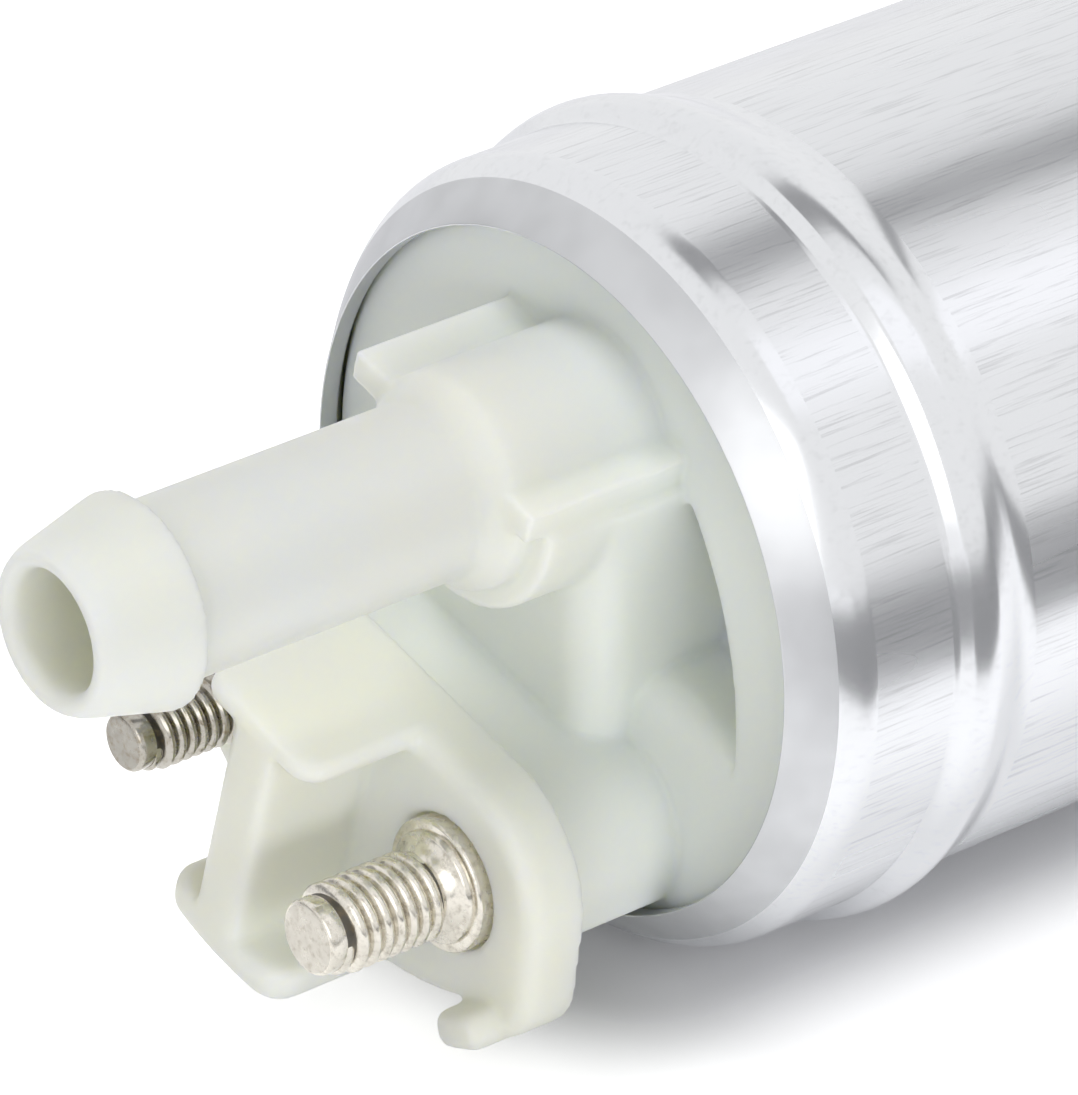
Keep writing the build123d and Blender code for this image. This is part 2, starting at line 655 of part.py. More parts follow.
with BuildPart() as check_valve_guide:
    ring(VALVE_CHAMBER_FRONT, guide_rear, VALVE_CHAMBER_RADIUS, guide_hole, at=nozzle_at)
    with BuildSketch(cap(guide_rear)) as flow_holes:
        with Locations(NOZZLE_PLACE):
            with PolarLocations((guide_hole + VALVE_CHAMBER_RADIUS) / 2, VALVE_FLOW_HOLES):
                Circle(VALVE_FLOW_HOLE)
    extrude(flow_holes.sketch, amount=VALVE_GUIDE_THICKNESS, mode=Mode.SUBTRACT)
save(check_valve_guide, "check_valve_guide")

with BuildPart() as check_valve_poppet:
    ring(head_front, VALVE_SEAT_STATION - VALVE_REST_GAP, VALVE_HEAD_RADIUS, at=nozzle_at)
    ring(VALVE_CHAMBER_FRONT - VALVE_STEM_OVERHANG, head_front, VALVE_STEM_RADIUS, at=nozzle_at)
save(check_valve_poppet, "check_valve_poppet")

with BuildPart() as check_valve_spring:
    ring(guide_rear, head_front, VALVE_SPRING_RADIUS, VALVE_SPRING_RADIUS - VALVE_SPRING_WIRE, at=nozzle_at)
save(check_valve_spring, "check_valve_spring")

# Bushes that carry the armature shaft
for name, start in (
    ("upper_bearing", BUSH_BOSS_END - BUSH_LENGTH),
    ("lower_bearing", PUMP_START),
):
    with BuildPart() as bush:
        ring(start, start + BUSH_LENGTH, BUSH_RADIUS, SHAFT_RADIUS + RUNNING_GAP)
    save(bush, name)

# Armature: shaft with the drive pin, core, windings and flat commutator
shaft_end = INLET_START + SHAFT_END_DEPTH
pin_station = PUMP_FLOOR + ROTOR_SIDE_GAP + DRIVE_SLOT_DEPTH / 2
pin_plane = Plane(origin=(0, pin_station - ORIGIN_STATION, 0), x_dir=(0, 1, 0), z_dir=(1, 0, 0))
core_end = CORE_START + CORE_LENGTH
winding_start = CORE_START - WINDING_HEAD
with BuildPart() as armature_shaft:
    ring(SHAFT_FRONT, shaft_end, SHAFT_RADIUS)
    with BuildSketch(pin_plane):
        Circle(DRIVE_PIN_RADIUS)
    extrude(amount=SHAFT_RADIUS, both=True, mode=Mode.SUBTRACT)
save(armature_shaft, "armature_shaft")

with BuildPart() as drive_pin:
    with BuildSketch(pin_plane):
        Circle(DRIVE_PIN_RADIUS)
    extrude(amount=DRIVE_PIN_LENGTH / 2, both=True)
save(drive_pin, "drive_pin")

with BuildPart() as armature_core:
    with BuildSketch(cross(core_end)):
        Circle(CORE_RADIUS)
        Circle(SHAFT_RADIUS, mode=Mode.SUBTRACT)
        with PolarLocations(SLOT_CENTRE_RADIUS, COMMUTATOR_BARS):
            Circle(SLOT_RADIUS, mode=Mode.SUBTRACT)
        with PolarLocations((SLOT_CENTRE_RADIUS + CORE_RADIUS) / 2 + SLOT_MOUTH, COMMUTATOR_BARS):
            Rectangle(
                CORE_RADIUS - SLOT_CENTRE_RADIUS + 2 * SLOT_MOUTH, SLOT_MOUTH, mode=Mode.SUBTRACT
            )
    extrude(amount=CORE_LENGTH)
save(armature_core, "armature_core")

with BuildPart() as armature_windings:
    with BuildSketch(cross(core_end + WINDING_HEAD)):
        with PolarLocations(SLOT_CENTRE_RADIUS, COMMUTATOR_BARS):
            Circle(SLOT_RADIUS - WINDING_GAP)
    extrude(amount=CORE_LENGTH + 2 * WINDING_HEAD)
    for start in (winding_start, core_end):
        ring(start, start + WINDING_HEAD, SLOT_CENTRE_RADIUS + SLOT_RADIUS, SHAFT_RADIUS + SLOT_MOUTH)
save(armature_windings, "armature_windings")

with BuildPart() as commutator:
    ring(COMMUTATOR_FACE, COMMUTATOR_FACE + COMMUTATOR_THICKNESS, COMMUTATOR_RADIUS, SHAFT_RADIUS)
    ring(COMMUTATOR_FACE, winding_start, COMMUTATOR_RADIUS / 2, SHAFT_RADIUS)
    with BuildSketch(cross(COMMUTATOR_FACE + SLOT_MOUTH)):
        with PolarLocations(COMMUTATOR_RADIUS * 3 / 4, COMMUTATOR_BARS):
            Rectangle(COMMUTATOR_RADIUS * 3 / 4, SLOT_MOUTH / 2)
    extrude(amount=SLOT_MOUTH, mode=Mode.SUBTRACT)
save(commutator, "commutator")

# Field: back-iron tube, two arc magnets and the sheet clips that spread them
magnet_bore = FLUX_RADIUS - MAGNET_THICKNESS
magnet_end = core_end + MAGNET_OVERLAP
magnet_length = CORE_LENGTH + 2 * MAGNET_OVERLAP
half_gap = (180 - MAGNET_ANGLE) / 2
clip_leg = degrees(CLIP_SHEET / magnet_bore)
with BuildPart() as flux_ring:
    ring(COVER_END, PUMP_START, FITTED_RADIUS, FLUX_RADIUS)
save(flux_ring, "flux_ring")

for name, middle in (("magnet_right", 0), ("magnet_left", 180)):
    with BuildPart() as magnet:
        extrude(
            arc_band(
                cross(magnet_end), magnet_bore, FLUX_RADIUS,
                middle - MAGNET_ANGLE / 2, middle + MAGNET_ANGLE / 2,
            ),
            amount=magnet_length,
        )
    save(magnet, name)

with BuildPart() as magnet_clips:
    for middle in (-90, 90):
        clip = arc_band(
            cross(magnet_end), magnet_bore, FLUX_RADIUS, middle - half_gap, middle + half_gap
        ) - arc_band(
            cross(magnet_end), magnet_bore - CLIP_SHEET, FLUX_RADIUS - CLIP_SHEET,
            middle - half_gap + clip_leg, middle + half_gap - clip_leg,
        )
        extrude(clip, amount=magnet_length)
save(magnet_clips, "magnet_clips")

# Pumping section: bearing plate, eccentric ring and the two rotors
ring_centre = (-ROTOR_ECCENTRICITY, 0)
rotor_rear = INLET_START - ROTOR_SIDE_GAP
rotor_length = ROTOR_DEPTH - 2 * ROTOR_SIDE_GAP
with BuildPart() as bearing_plate:
    ring(PUMP_START, PUMP_FLOOR, FITTED_RADIUS, SHAFT_RADIUS + SHAFT_CLEARANCE)
    ring(PUMP_START, PUMP_START + BUSH_LENGTH, BUSH_RADIUS, mode=Mode.SUBTRACT)
    extrude(
        arc_band(cross(PUMP_FLOOR), PORT_INNER_RADIUS, PORT_OUTER_RADIUS, *PORT_ANGLES),
        amount=PLATE_DEPTH, mode=Mode.SUBTRACT,
    )
save(bearing_plate, "bearing_plate")

with BuildPart() as rotor_ring:
    ring(PUMP_FLOOR, INLET_START, FITTED_RADIUS)
    ring(PUMP_FLOOR, INLET_START, OUTER_ROTOR_RADIUS + ROTOR_POCKET_GAP, at=ring_centre, mode=Mode.SUBTRACT)
save(rotor_ring, "rotor_ring")

with BuildPart() as outer_rotor:
    with BuildSketch(cross(rotor_rear)) as toothed_ring:
        with Locations(ring_centre):
            Circle(OUTER_ROTOR_RADIUS)
            Circle(VALLEY_RADIUS, mode=Mode.SUBTRACT)
            with PolarLocations(TOOTH_CIRCLE_RADIUS, OUTER_TEETH):
                Circle(TOOTH_RADIUS)
            Circle(OUTER_ROTOR_RADIUS, mode=Mode.INTERSECT)
    extrude(toothed_ring.sketch, amount=rotor_length)
save(outer_rotor, "outer_rotor")


def rotor_curve(turn):
    """Point of the inner rotor's flank, which rolls on the outer rotor's round teeth."""
    lobes = OUTER_TEETH - 1
    tooth = TOOTH_RADIUS + MESH_GAP
    lead = atan2(
        sin(-lobes * turn),
        TOOTH_CIRCLE_RADIUS / (ROTOR_ECCENTRICITY * OUTER_TEETH) - cos(-lobes * turn),
    )
    x = TOOTH_CIRCLE_RADIUS * cos(turn) - tooth * cos(turn + lead)
    y = -TOOTH_CIRCLE_RADIUS * sin(turn) + tooth * sin(turn + lead)
    return (
        x - ROTOR_ECCENTRICITY * cos(OUTER_TEETH * turn),
        y + ROTOR_ECCENTRICITY * sin(OUTER_TEETH * turn),
    )


curve_steps = ROTOR_CURVE_STEPS * (OUTER_TEETH - 1)
slot_half = DRIVE_PIN_RADIUS + FIT_GAP
with BuildPart() as inner_rotor:
    with BuildSketch(cross(rotor_rear)) as lobed_disc:
        with BuildLine():
            Spline(*[rotor_curve(2 * pi * step / curve_steps) for step in range(curve_steps)], periodic=True)
        make_face()
        Circle(SHAFT_RADIUS, mode=Mode.SUBTRACT)
    extrude(lobed_disc.sketch, amount=rotor_length)
    bar(
        cross(pin_station + slot_half), -DRIVE_PIN_LENGTH / 2 - FIT_GAP, DRIVE_PIN_LENGTH / 2 + FIT_GAP,
        -slot_half, slot_half, DRIVE_SLOT_DEPTH, mode=Mode.SUBTRACT,
    )
save(inner_rotor, "inner_rotor")

# Inlet end: cover with nipple, shaft rest and relief valve
relief_seat = INLET_START + RELIEF_SEAT_DEPTH
hub_end = CASING_LENGTH + INLET_HUB_LENGTH
nipple_end = hub_end + INLET_NIPPLE_LENGTH
thrust_start = shaft_end + SHAFT_END_PLAY
seal_start = INLET_START + INLET_SEAL_DEPTH
with BuildPart() as inlet_cover:
    spin([
        (INLET_START, 0),
        (INLET_START, FITTED_RADIUS),
        (seal_start, FITTED_RADIUS),
        (seal_start, seal_floor),
        (seal_start + SEAL_GROOVE_WIDTH, seal_floor),
        (seal_start + SEAL_GROOVE_WIDTH, FITTED_RADIUS),
        (CASING_LENGTH - shoulder, FITTED_RADIUS),
        (CASING_LENGTH - COVER_FACE, LIP_OPENING_RADIUS - FIT_GAP),
        (CASING_LENGTH - COVER_FACE, INLET_HUB_RADIUS),
        (hub_end, INLET_HUB_RADIUS),
        (hub_end, 0),
    ])
    ring(hub_end, nipple_end, INLET_NIPPLE_RADIUS, at=INLET_PLACE)
    ring(INLET_START, nipple_end, INLET_PASSAGE, at=INLET_PLACE, mode=Mode.SUBTRACT)
    ring(CASING_LENGTH, nipple_end, INLET_BORE, at=INLET_PLACE, mode=Mode.SUBTRACT)
    extrude(
        arc_band(
            cross(INLET_START + PORT_DEPTH), PORT_INNER_RADIUS, PORT_OUTER_RADIUS,
            -PORT_ANGLES[1], -PORT_ANGLES[0],
        ),
        amount=PORT_DEPTH, mode=Mode.SUBTRACT,
    )
    ring(INLET_START, thrust_start + THRUST_DEPTH, SHAFT_RADIUS + SHAFT_CLEARANCE, mode=Mode.SUBTRACT)
    ring(INLET_START, relief_seat, RELIEF_CHANNEL, at=RELIEF_PLACE, mode=Mode.SUBTRACT)
    ring(relief_seat, hub_end, RELIEF_BORE, at=RELIEF_PLACE, mode=Mode.SUBTRACT)
save(inlet_cover, "inlet_cover")

with BuildPart() as thrust_button:
    ring(thrust_start, thrust_start + THRUST_DEPTH, SHAFT_RADIUS + SHAFT_CLEARANCE)
save(thrust_button, "thrust_button")

ball_station = relief_seat + sqrt(RELIEF_BALL**2 - RELIEF_CHANNEL**2) + VALVE_REST_GAP
spring_start = ball_station + sqrt(RELIEF_BALL**2 - (RELIEF_SPRING_RADIUS - VALVE_SPRING_WIRE)**2)
with BuildPart() as relief_valve_ball:
    with Locations((RELIEF_PLACE[0], ball_station - ORIGIN_STATION, RELIEF_PLACE[1])):
        Sphere(RELIEF_BALL)
save(relief_valve_ball, "relief_valve_ball")

with BuildPart() as relief_valve_spring:
    ring(
        spring_start + VALVE_REST_GAP, hub_end - RELIEF_PLUG_LENGTH, RELIEF_SPRING_RADIUS,
        RELIEF_SPRING_RADIUS - VALVE_SPRING_WIRE, at=RELIEF_PLACE,
    )
save(relief_valve_spring, "relief_valve_spring")

with BuildPart() as relief_valve_plug:
    ring(hub_end - RELIEF_PLUG_LENGTH, hub_end, RELIEF_BORE, RELIEF_VENT, at=RELIEF_PLACE)
save(relief_valve_plug, "relief_valve_plug")

print(f"length over all {nipple_end - NOZZLE_MOUTH:.1f} mm, {len(os.listdir('parts'))} pieces")
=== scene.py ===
import math

import bmesh
import bpy
from bpy.props import FloatProperty, FloatVectorProperty, IntProperty, PointerProperty
from bpy.types import Operator, Panel, PropertyGroup
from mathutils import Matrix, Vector


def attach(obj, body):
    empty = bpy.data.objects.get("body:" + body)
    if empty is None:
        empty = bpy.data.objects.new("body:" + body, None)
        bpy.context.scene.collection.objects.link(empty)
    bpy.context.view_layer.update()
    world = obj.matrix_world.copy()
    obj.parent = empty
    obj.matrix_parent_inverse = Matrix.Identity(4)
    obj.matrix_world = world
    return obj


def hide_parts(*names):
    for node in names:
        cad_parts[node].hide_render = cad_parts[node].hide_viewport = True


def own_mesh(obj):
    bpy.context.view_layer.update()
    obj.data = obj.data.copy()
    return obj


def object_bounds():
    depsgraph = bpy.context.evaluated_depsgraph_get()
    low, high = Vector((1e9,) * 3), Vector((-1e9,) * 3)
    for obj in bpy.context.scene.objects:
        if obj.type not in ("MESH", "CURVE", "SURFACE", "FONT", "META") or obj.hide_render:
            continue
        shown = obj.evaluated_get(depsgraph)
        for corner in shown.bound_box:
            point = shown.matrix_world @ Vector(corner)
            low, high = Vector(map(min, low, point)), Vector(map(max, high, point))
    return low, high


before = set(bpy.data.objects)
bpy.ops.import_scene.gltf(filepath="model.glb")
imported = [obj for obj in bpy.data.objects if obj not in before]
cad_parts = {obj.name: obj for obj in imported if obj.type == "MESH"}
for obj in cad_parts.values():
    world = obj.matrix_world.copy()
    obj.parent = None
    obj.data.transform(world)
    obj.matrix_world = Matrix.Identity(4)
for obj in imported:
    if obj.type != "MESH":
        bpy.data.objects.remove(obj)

bl_info = {
    "name": "Electric fuel pump",
    "version": (1, 0, 0),
    "blender": (4, 5, 0),
    "location": "3D View > Sidebar > Fuel pump",
    "description": "Dresses the packed pump with its casing, moulded cover, studs, springs and finishes",
    "category": "Object",
}

CAD_BOX = [list(corner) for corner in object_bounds()]
FLOOR_HEIGHT = CAD_BOX[0][2]
MM = 0.001
MERGE_DISTANCE = 0.0005 * MM

# Stations run along the pump in millimetres from the casing's front edge, as on the CAD drawing
ORIGIN_STATION = 60.0

# Casing: the front lip, which the rear lip repeats, and the rolled bead, in millimetres
CASING_LENGTH = 112.0
SHOULDER_STATION = 2.3
SHOULDER_RADIUS = 20.8
BARREL_START = 3.4
BEAD_START = 9.2
BEAD_FRONT_FLANK = 9.9
BEAD_CREST = 11.0
BEAD_INNER_CREST = 11.075
BEAD_REAR_FLANK = 12.3
BEAD_END = 13.9
FRONT_FLANK_SHARE = 0.7
REAR_FLANK_SHARE = 0.62
LIP_FINISH_DEPTH = 2.0
ROLLED_EDGE_DEPTH = 4.0
ROLLED_BEAD_START = 9.0
ROLLED_BEAD_END = 14.8

# Outlet cover: its turn round the pump's axis and the places on it, in millimetres
CAP_TURN = math.radians(-16.0)
NOZZLE_PLACE = (-0.4, 9.15)
POSITIVE_PLACE = (7.5, -11.15)
NEGATIVE_PLACE = (-8.4, -10.7)
BRUSH_OFFSET = 8.7
COVER_CUT = 7.6

# Terminal studs: stations of their steps, and sizes that both share, in millimetres
STUD_TIP = -19.05
STUD_NECK = -11.75
STUD_RING_START = -11.15
STUD_RING = -11.0
STUD_COLLAR_TOP = -10.7
STUD_COLLAR_FOOT = -9.2
STUD_SHANK_END = 9.0
STUD_PEG_END = 10.4
STUD_PEG_RADIUS = 1.4
STUD_RING_WIDTH = 0.55
THREAD_DEPTH_SHARE = 0.61

# Inlet end: the relief valve's height over the pump's axis, in millimetres
RELIEF_HEIGHT = 9.6

# Floor: how it glows beside the strip that the casing rests on, where the missing glow leaves a painted
# contact shadow, and how bright it looks in reflections
PAINTED_SHADOW_STRIP_HALF_WIDTH = 4 * MM
PAINTED_SHADOW_START = 4 * MM
PAINTED_SHADOW_END = 14 * MM
FLOOR_GLOW = 0.6
FLOOR_REFLECTED = 0.75

# The photograph's viewpoint
CAMERA_TURN = math.radians(50.294)
CAMERA_LIFT = math.radians(28.033)
CAMERA_DISTANCE = 0.5
CAMERA_SHIFT_LEFT = 0.27 * MM
CAMERA_SHIFT_UP = 1.329 * MM
CAMERA_LENS = 319.8
CAMERA_SENSOR = 36.0


def along(station):
    """Y in metres, in the shared frame, of a station in millimetres."""
    return (station - ORIGIN_STATION) * MM


def cap_point(place):
    """X and Z in metres, in the shared frame, of a place on the turned outlet cover."""
    across, up = place
    return (
        (across * math.cos(CAP_TURN) - up * math.sin(CAP_TURN)) * MM,
        (across * math.sin(CAP_TURN) + up * math.cos(CAP_TURN)) * MM,
    )


def station_of(face):
    """Station in millimetres of a face's middle."""
    return face.calc_center_median().y / MM + ORIGIN_STATION


class PumpSizes(PropertyGroup):
    """Sizes of the pieces that are shaped here."""

    barrel_radius: FloatProperty(
        name="Barrel radius", description="Outside radius of the casing",
        default=21.5 * MM, min=5 * MM, unit="LENGTH", precision=5,
    )
    opening_radius: FloatProperty(
        name="Opening radius", description="Radius of the hole in each turned-in lip",
        default=18.6 * MM, min=5 * MM, unit="LENGTH", precision=5,
    )
    sheet: FloatProperty(
        name="Casing sheet", description="Wall thickness of the casing",
        default=1.2 * MM, min=0.2 * MM, unit="LENGTH", precision=5,
    )
    bead_height: FloatProperty(
        name="Bead height", description="How far the rolled bead stands out of the barrel",
        default=1.05 * MM, min=0.1 * MM, unit="LENGTH", precision=5,
    )
    cover_grain: FloatProperty(
        name="Cover mesh size", description="Size of the faces that the moulded cover is remade with",
        default=0.22 * MM, min=0.1 * MM, unit="LENGTH", precision=5,
    )
    cover_softening: IntProperty(
        name="Cover softening", description="Smoothing passes that round the moulded cover's edges",
        default=7, min=0,
    )
    positive_pitch: FloatProperty(
        name="Large stud pitch", description="Thread pitch of the large stud",
        default=0.8 * MM, min=0.2 * MM, unit="LENGTH", precision=5,
    )
    negative_pitch: FloatProperty(
        name="Small stud pitch", description="Thread pitch of the small stud",
        default=0.7 * MM, min=0.2 * MM, unit="LENGTH", precision=5,
    )
    spring_wire: FloatProperty(
        name="Spring wire", description="Wire diameter of the valve and brush springs",
        default=0.5 * MM, min=0.1 * MM, unit="LENGTH", precision=5,
    )


class PumpColours(PropertyGroup):
    """Colours of the finishes."""

    aluminium: FloatVectorProperty(
        name="Aluminium", description="Colour of the drawn casing", subtype="COLOR", size=4,
        default=(0.78, 0.79, 0.81, 1.0), min=0, max=1,
    )
    ivory: FloatVectorProperty(
        name="Ivory plastic", description="Colour of the moulded cover", subtype="COLOR", size=4,
        default=(0.80, 0.82, 0.772, 1.0), min=0, max=1,
    )
    nickel: FloatVectorProperty(
        name="Nickel", description="Colour of the plated studs", subtype="COLOR", size=4,
        default=(0.77, 0.735, 0.66, 1.0), min=0, max=1,
    )
    floor: FloatVectorProperty(
        name="Floor", description="Colour of the floor", subtype="COLOR", size=4,
        default=(0.90, 0.90, 0.91, 1.0), min=0, max=1,
    )


class PumpSettings(PropertyGroup):
    """Everything a user may change before building the pump."""

    sizes: PointerProperty(type=PumpSizes)
    colours: PointerProperty(type=PumpColours)


def settings():
    """The scene's pump settings."""
    return bpy.context.scene.fuel_pump


def shaded(colour, share):
    """The same colour, darker or lighter."""
    return (colour[0] * share, colour[1] * share, colour[2] * share, 1.0)


class Finish:
    """A procedural material while its nodes are being joined."""

    def __init__(self, name, colour, metallic, roughness):
        self.material = bpy.data.materials.new(name)
        self.material.use_nodes = True
        self.material.diffuse_color = colour
        self.tree = self.material.node_tree
        self.shader = self.tree.nodes["Principled BSDF"]
        self.shader.inputs["Base Color"].default_value = colour
        self.shader.inputs["Metallic"].default_value = metallic
        self.shader.inputs["Roughness"].default_value = roughness
        self.place = self.tree.nodes.new("ShaderNodeTexCoord").outputs["Object"]

    def noise(self, scale, detail=3.0, roughness=0.5):
        """Noise in features per metre: one number, or one for each axis."""
        mapping = self.tree.nodes.new("ShaderNodeMapping")
        mapping.inputs["Scale"].default_value = scale if isinstance(scale, tuple) else (scale,) * 3
        self.tree.links.new(self.place, mapping.inputs["Vector"])
        noise = self.tree.nodes.new("ShaderNodeTexNoise")
        noise.inputs["Scale"].default_value = 1.0
        noise.inputs["Detail"].default_value = detail
        noise.inputs["Roughness"].default_value = roughness
        self.tree.links.new(mapping.outputs["Vector"], noise.inputs["Vector"])
        return noise.outputs["Fac"]

    def ramp(self, value, low=0.3, high=0.7, low_value=0.0, high_value=1.0):
        """Maps a range, by default the usual spread of noise, to another range with soft ends."""
        node = self.tree.nodes.new("ShaderNodeMapRange")
        node.interpolation_type = "SMOOTHSTEP"
        node.inputs["From Min"].default_value = low
        node.inputs["From Max"].default_value = high
        node.inputs["To Min"].default_value = low_value
        node.inputs["To Max"].default_value = high_value
        self.tree.links.new(value, node.inputs["Value"])
        return node.outputs["Result"]

    def mix(self, factor, first, second):
        """Blend of two colours, each a value or a socket."""
        node = self.tree.nodes.new("ShaderNodeMix")
        node.data_type = "RGBA"
        self.tree.links.new(factor, node.inputs["Factor"])
        for socket, colour in (("A", first), ("B", second)):
            target = next(item for item in node.inputs if item.name == socket and item.type == "RGBA")
            if isinstance(colour, bpy.types.NodeSocket):
                self.tree.links.new(colour, target)
            else:
                target.default_value = colour
        return next(item for item in node.outputs if item.type == "RGBA")

    def bump(self, height, depth, strength=0.5, below=None):
        """Relief from a height socket, its depth in millimetres, over another relief if one is given."""
        node = self.tree.nodes.new("ShaderNodeBump")
        node.inputs["Distance"].default_value = depth * MM
        node.inputs["Strength"].default_value = strength
        self.tree.links.new(height, node.inputs["Height"])
        if below is not None:
            self.tree.links.new(below, node.inputs["Normal"])
        return node.outputs["Normal"]

    def tint(self, factor, first, second):
        """Colours the surface with a blend of two colours."""
        self.tree.links.new(self.mix(factor, first, second), self.shader.inputs["Base Color"])

    def gloss(self, noise, smoothest, roughest):
        """Lets the roughness wander between two values."""
        uneven = self.ramp(noise, low_value=smoothest, high_value=roughest)
        self.tree.links.new(uneven, self.shader.inputs["Roughness"])

    def relief(self, height, depth, strength=0.5, below=None):
        """Gives the surface a relief."""
        self.tree.links.new(self.bump(height, depth, strength, below), self.shader.inputs["Normal"])


def brushed_aluminium(colour):
    """Drawn aluminium with fine marks and faint drag streaks along the barrel."""
    finish = Finish("brushed_aluminium", colour, 1.0, 0.26)
    fine = finish.noise((11000, 450, 11000), 3.0, 0.6)
    streaks = finish.noise((6000, 190, 6000), 4.0, 0.6)
    patches = finish.noise((160, 30, 160), 2.0)
    finish.tint(finish.ramp(streaks, 0.5, 0.72), colour, shaded(colour, 0.82))
    finish.gloss(patches, 0.2, 0.3)
    finish.relief(fine, 0.0012, 0.5, finish.bump(streaks, 0.0025))
    return finish.material


def rolled_aluminium(colour):
    """The same aluminium where the rolling tool has polished the edges and the bead."""
    finish = Finish("rolled_aluminium", colour, 1.0, 0.16)
    marks = finish.noise((2200, 1400, 2200), 4.0, 0.6)
    finish.tint(finish.ramp(marks, 0.5, 0.75), colour, shaded(colour, 0.94))
    finish.gloss(marks, 0.18, 0.21)
    finish.relief(marks, 0.0005)
    return finish.material


def lip_aluminium(colour):
    """Matt turned-in lip, evenly grey with a fine grain."""
    finish = Finish("lip_aluminium", shaded(colour, 0.8), 1.0, 0.4)
    grain = finish.noise(2600)
    finish.tint(finish.ramp(finish.noise(240, 2.0)), shaded(colour, 0.76), shaded(colour, 0.84))
    finish.relief(grain, 0.01, 0.4)
    return finish.material


def ivory_acetal(colour):
    """Moulded acetal: translucent, softly glossy, a little warmer towards the nozzle's end."""
    finish = Finish("ivory_acetal", colour, 0.0, 0.38)
    finish.shader.inputs["Subsurface Weight"].default_value = 0.8
    finish.shader.inputs["Subsurface Radius"].default_value = (1.0, 0.94, 0.6)
    finish.shader.inputs["Subsurface Scale"].default_value = 3.4 * MM
    finish.shader.inputs["IOR"].default_value = 1.48
    warm = (colour[0] * 1.02, colour[1], colour[2] * 0.95, 1.0)
    cool = (colour[0] * 0.99, colour[1] * 1.006, colour[2] * 1.01, 1.0)
    parts = finish.tree.nodes.new("ShaderNodeSeparateXYZ")
    finish.tree.links.new(finish.place, parts.inputs["Vector"])
    inwards = finish.ramp(parts.outputs["Y"], along(-9), along(0))
    finish.tint(inwards, finish.mix(finish.ramp(finish.noise(90)), colour, warm), cool)
    finish.gloss(finish.noise(420), 0.32, 0.46)
    waves = finish.bump(finish.noise(330, 2.0), 0.05, 0.25)
    finish.relief(finish.noise(3800, 2.0), 0.004, 0.4, waves)
    return finish.material


def plated_nickel(name, colour, roughness, tarnish):
    """Nickel plate with small scratches and brownish tarnish."""
    finish = Finish(name, colour, 1.0, roughness)
    spots = finish.ramp(finish.noise(2200, 5.0, 0.7), 0.45, 0.78, 0.0, tarnish)
    finish.tint(spots, colour, (0.24, 0.19, 0.12, 1.0))
    finish.gloss(finish.noise(1500), roughness * 0.7, roughness * 1.5)
    finish.relief(finish.noise((1300, 2600, 1300)), 0.01)
    return finish.material


def plain_metal(name, colour, roughness, scale, darkest=0.7):
    """Inner metal with a machined or sintered grain."""
    finish = Finish(name, colour, 1.0, roughness)
    grain = finish.noise(scale, 4.0, 0.6)
    finish.tint(finish.ramp(grain, 0.35), colour, shaded(colour, darkest))
    finish.gloss(grain, roughness * 0.8, roughness * 1.25)
    finish.relief(grain, 0.015)
    return finish.material


def plain_solid(name, colour, roughness, scale, depth):
    """Inner plastic, rubber, carbon or ceramic with a fine uneven surface."""
    finish = Finish(name, colour, 0.0, roughness)
    grain = finish.noise(scale, 4.0, 0.6)
    finish.tint(finish.ramp(grain, 0.35), colour, shaded(colour, 0.7))
    finish.gloss(grain, roughness * 0.85, min(1.0, roughness * 1.2))
    finish.relief(grain, depth)
    return finish.material


def add_piece(name, shape, finishes, body, replaces=()):
    """Turns a bmesh into a piece of the pump that rides on a CAD body."""
    mesh = bpy.data.meshes.new(name)
    shape.to_mesh(mesh)
    shape.free()
    piece = bpy.data.objects.new(name, mesh)
    bpy.context.scene.collection.objects.link(piece)
    for finish in finishes:
        mesh.materials.append(finish)
    mesh.shade_smooth()
    mesh.set_sharp_from_angle(angle=math.radians(38))
    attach(piece, body)
    if replaces:
        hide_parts(*replaces)
    return piece


def turned(outline, at=(0.0, 0.0), steps=192):
    """Closed solid of revolution from (station, radius) pairs in millimetres, round an axis along Y."""
    shape = bmesh.new()
    corners = [
        shape.verts.new((at[0] + radius * MM, along(station), at[1])) for station, radius in outline
    ]
    rims = [shape.edges.new(pair) for pair in zip(corners, corners[1:])]
    if outline[0][1] > 0 and outline[-1][1] > 0:
        rims.append(shape.edges.new((corners[-1], corners[0])))
    bmesh.ops.spin(
        shape, geom=corners + rims, cent=(at[0], 0, at[1]), axis=(0, 1, 0), angle=2 * math.pi,
        steps=steps, use_merge=True, use_duplicate=False,
    )
    bmesh.ops.remove_doubles(shape, verts=shape.verts, dist=MERGE_DISTANCE)
    bmesh.ops.recalc_face_normals(shape, faces=shape.faces)
    return shape


def round_rim(shape, station, radius, offset, segments, at=(0.0, 0.0)):
    """Rounds the circular edge at a station and radius, in millimetres."""
    def on_rim(vert):
        reach = math.hypot(vert.co.x - at[0], vert.co.z - at[1]) / MM
        return abs(reach - radius) < 0.01 and abs(vert.co.y - along(station)) < 0.01 * MM

    rim = [edge for edge in shape.edges if all(on_rim(vert) for vert in edge.verts)]
    if not rim:
        raise RuntimeError(f"no rim at station {station}, radius {radius}")
    bmesh.ops.bevel(
        shape, geom=rim, offset=offset * MM, offset_type="OFFSET", segments=segments, profile=0.5,
        affect="EDGES", material=-1,
    )


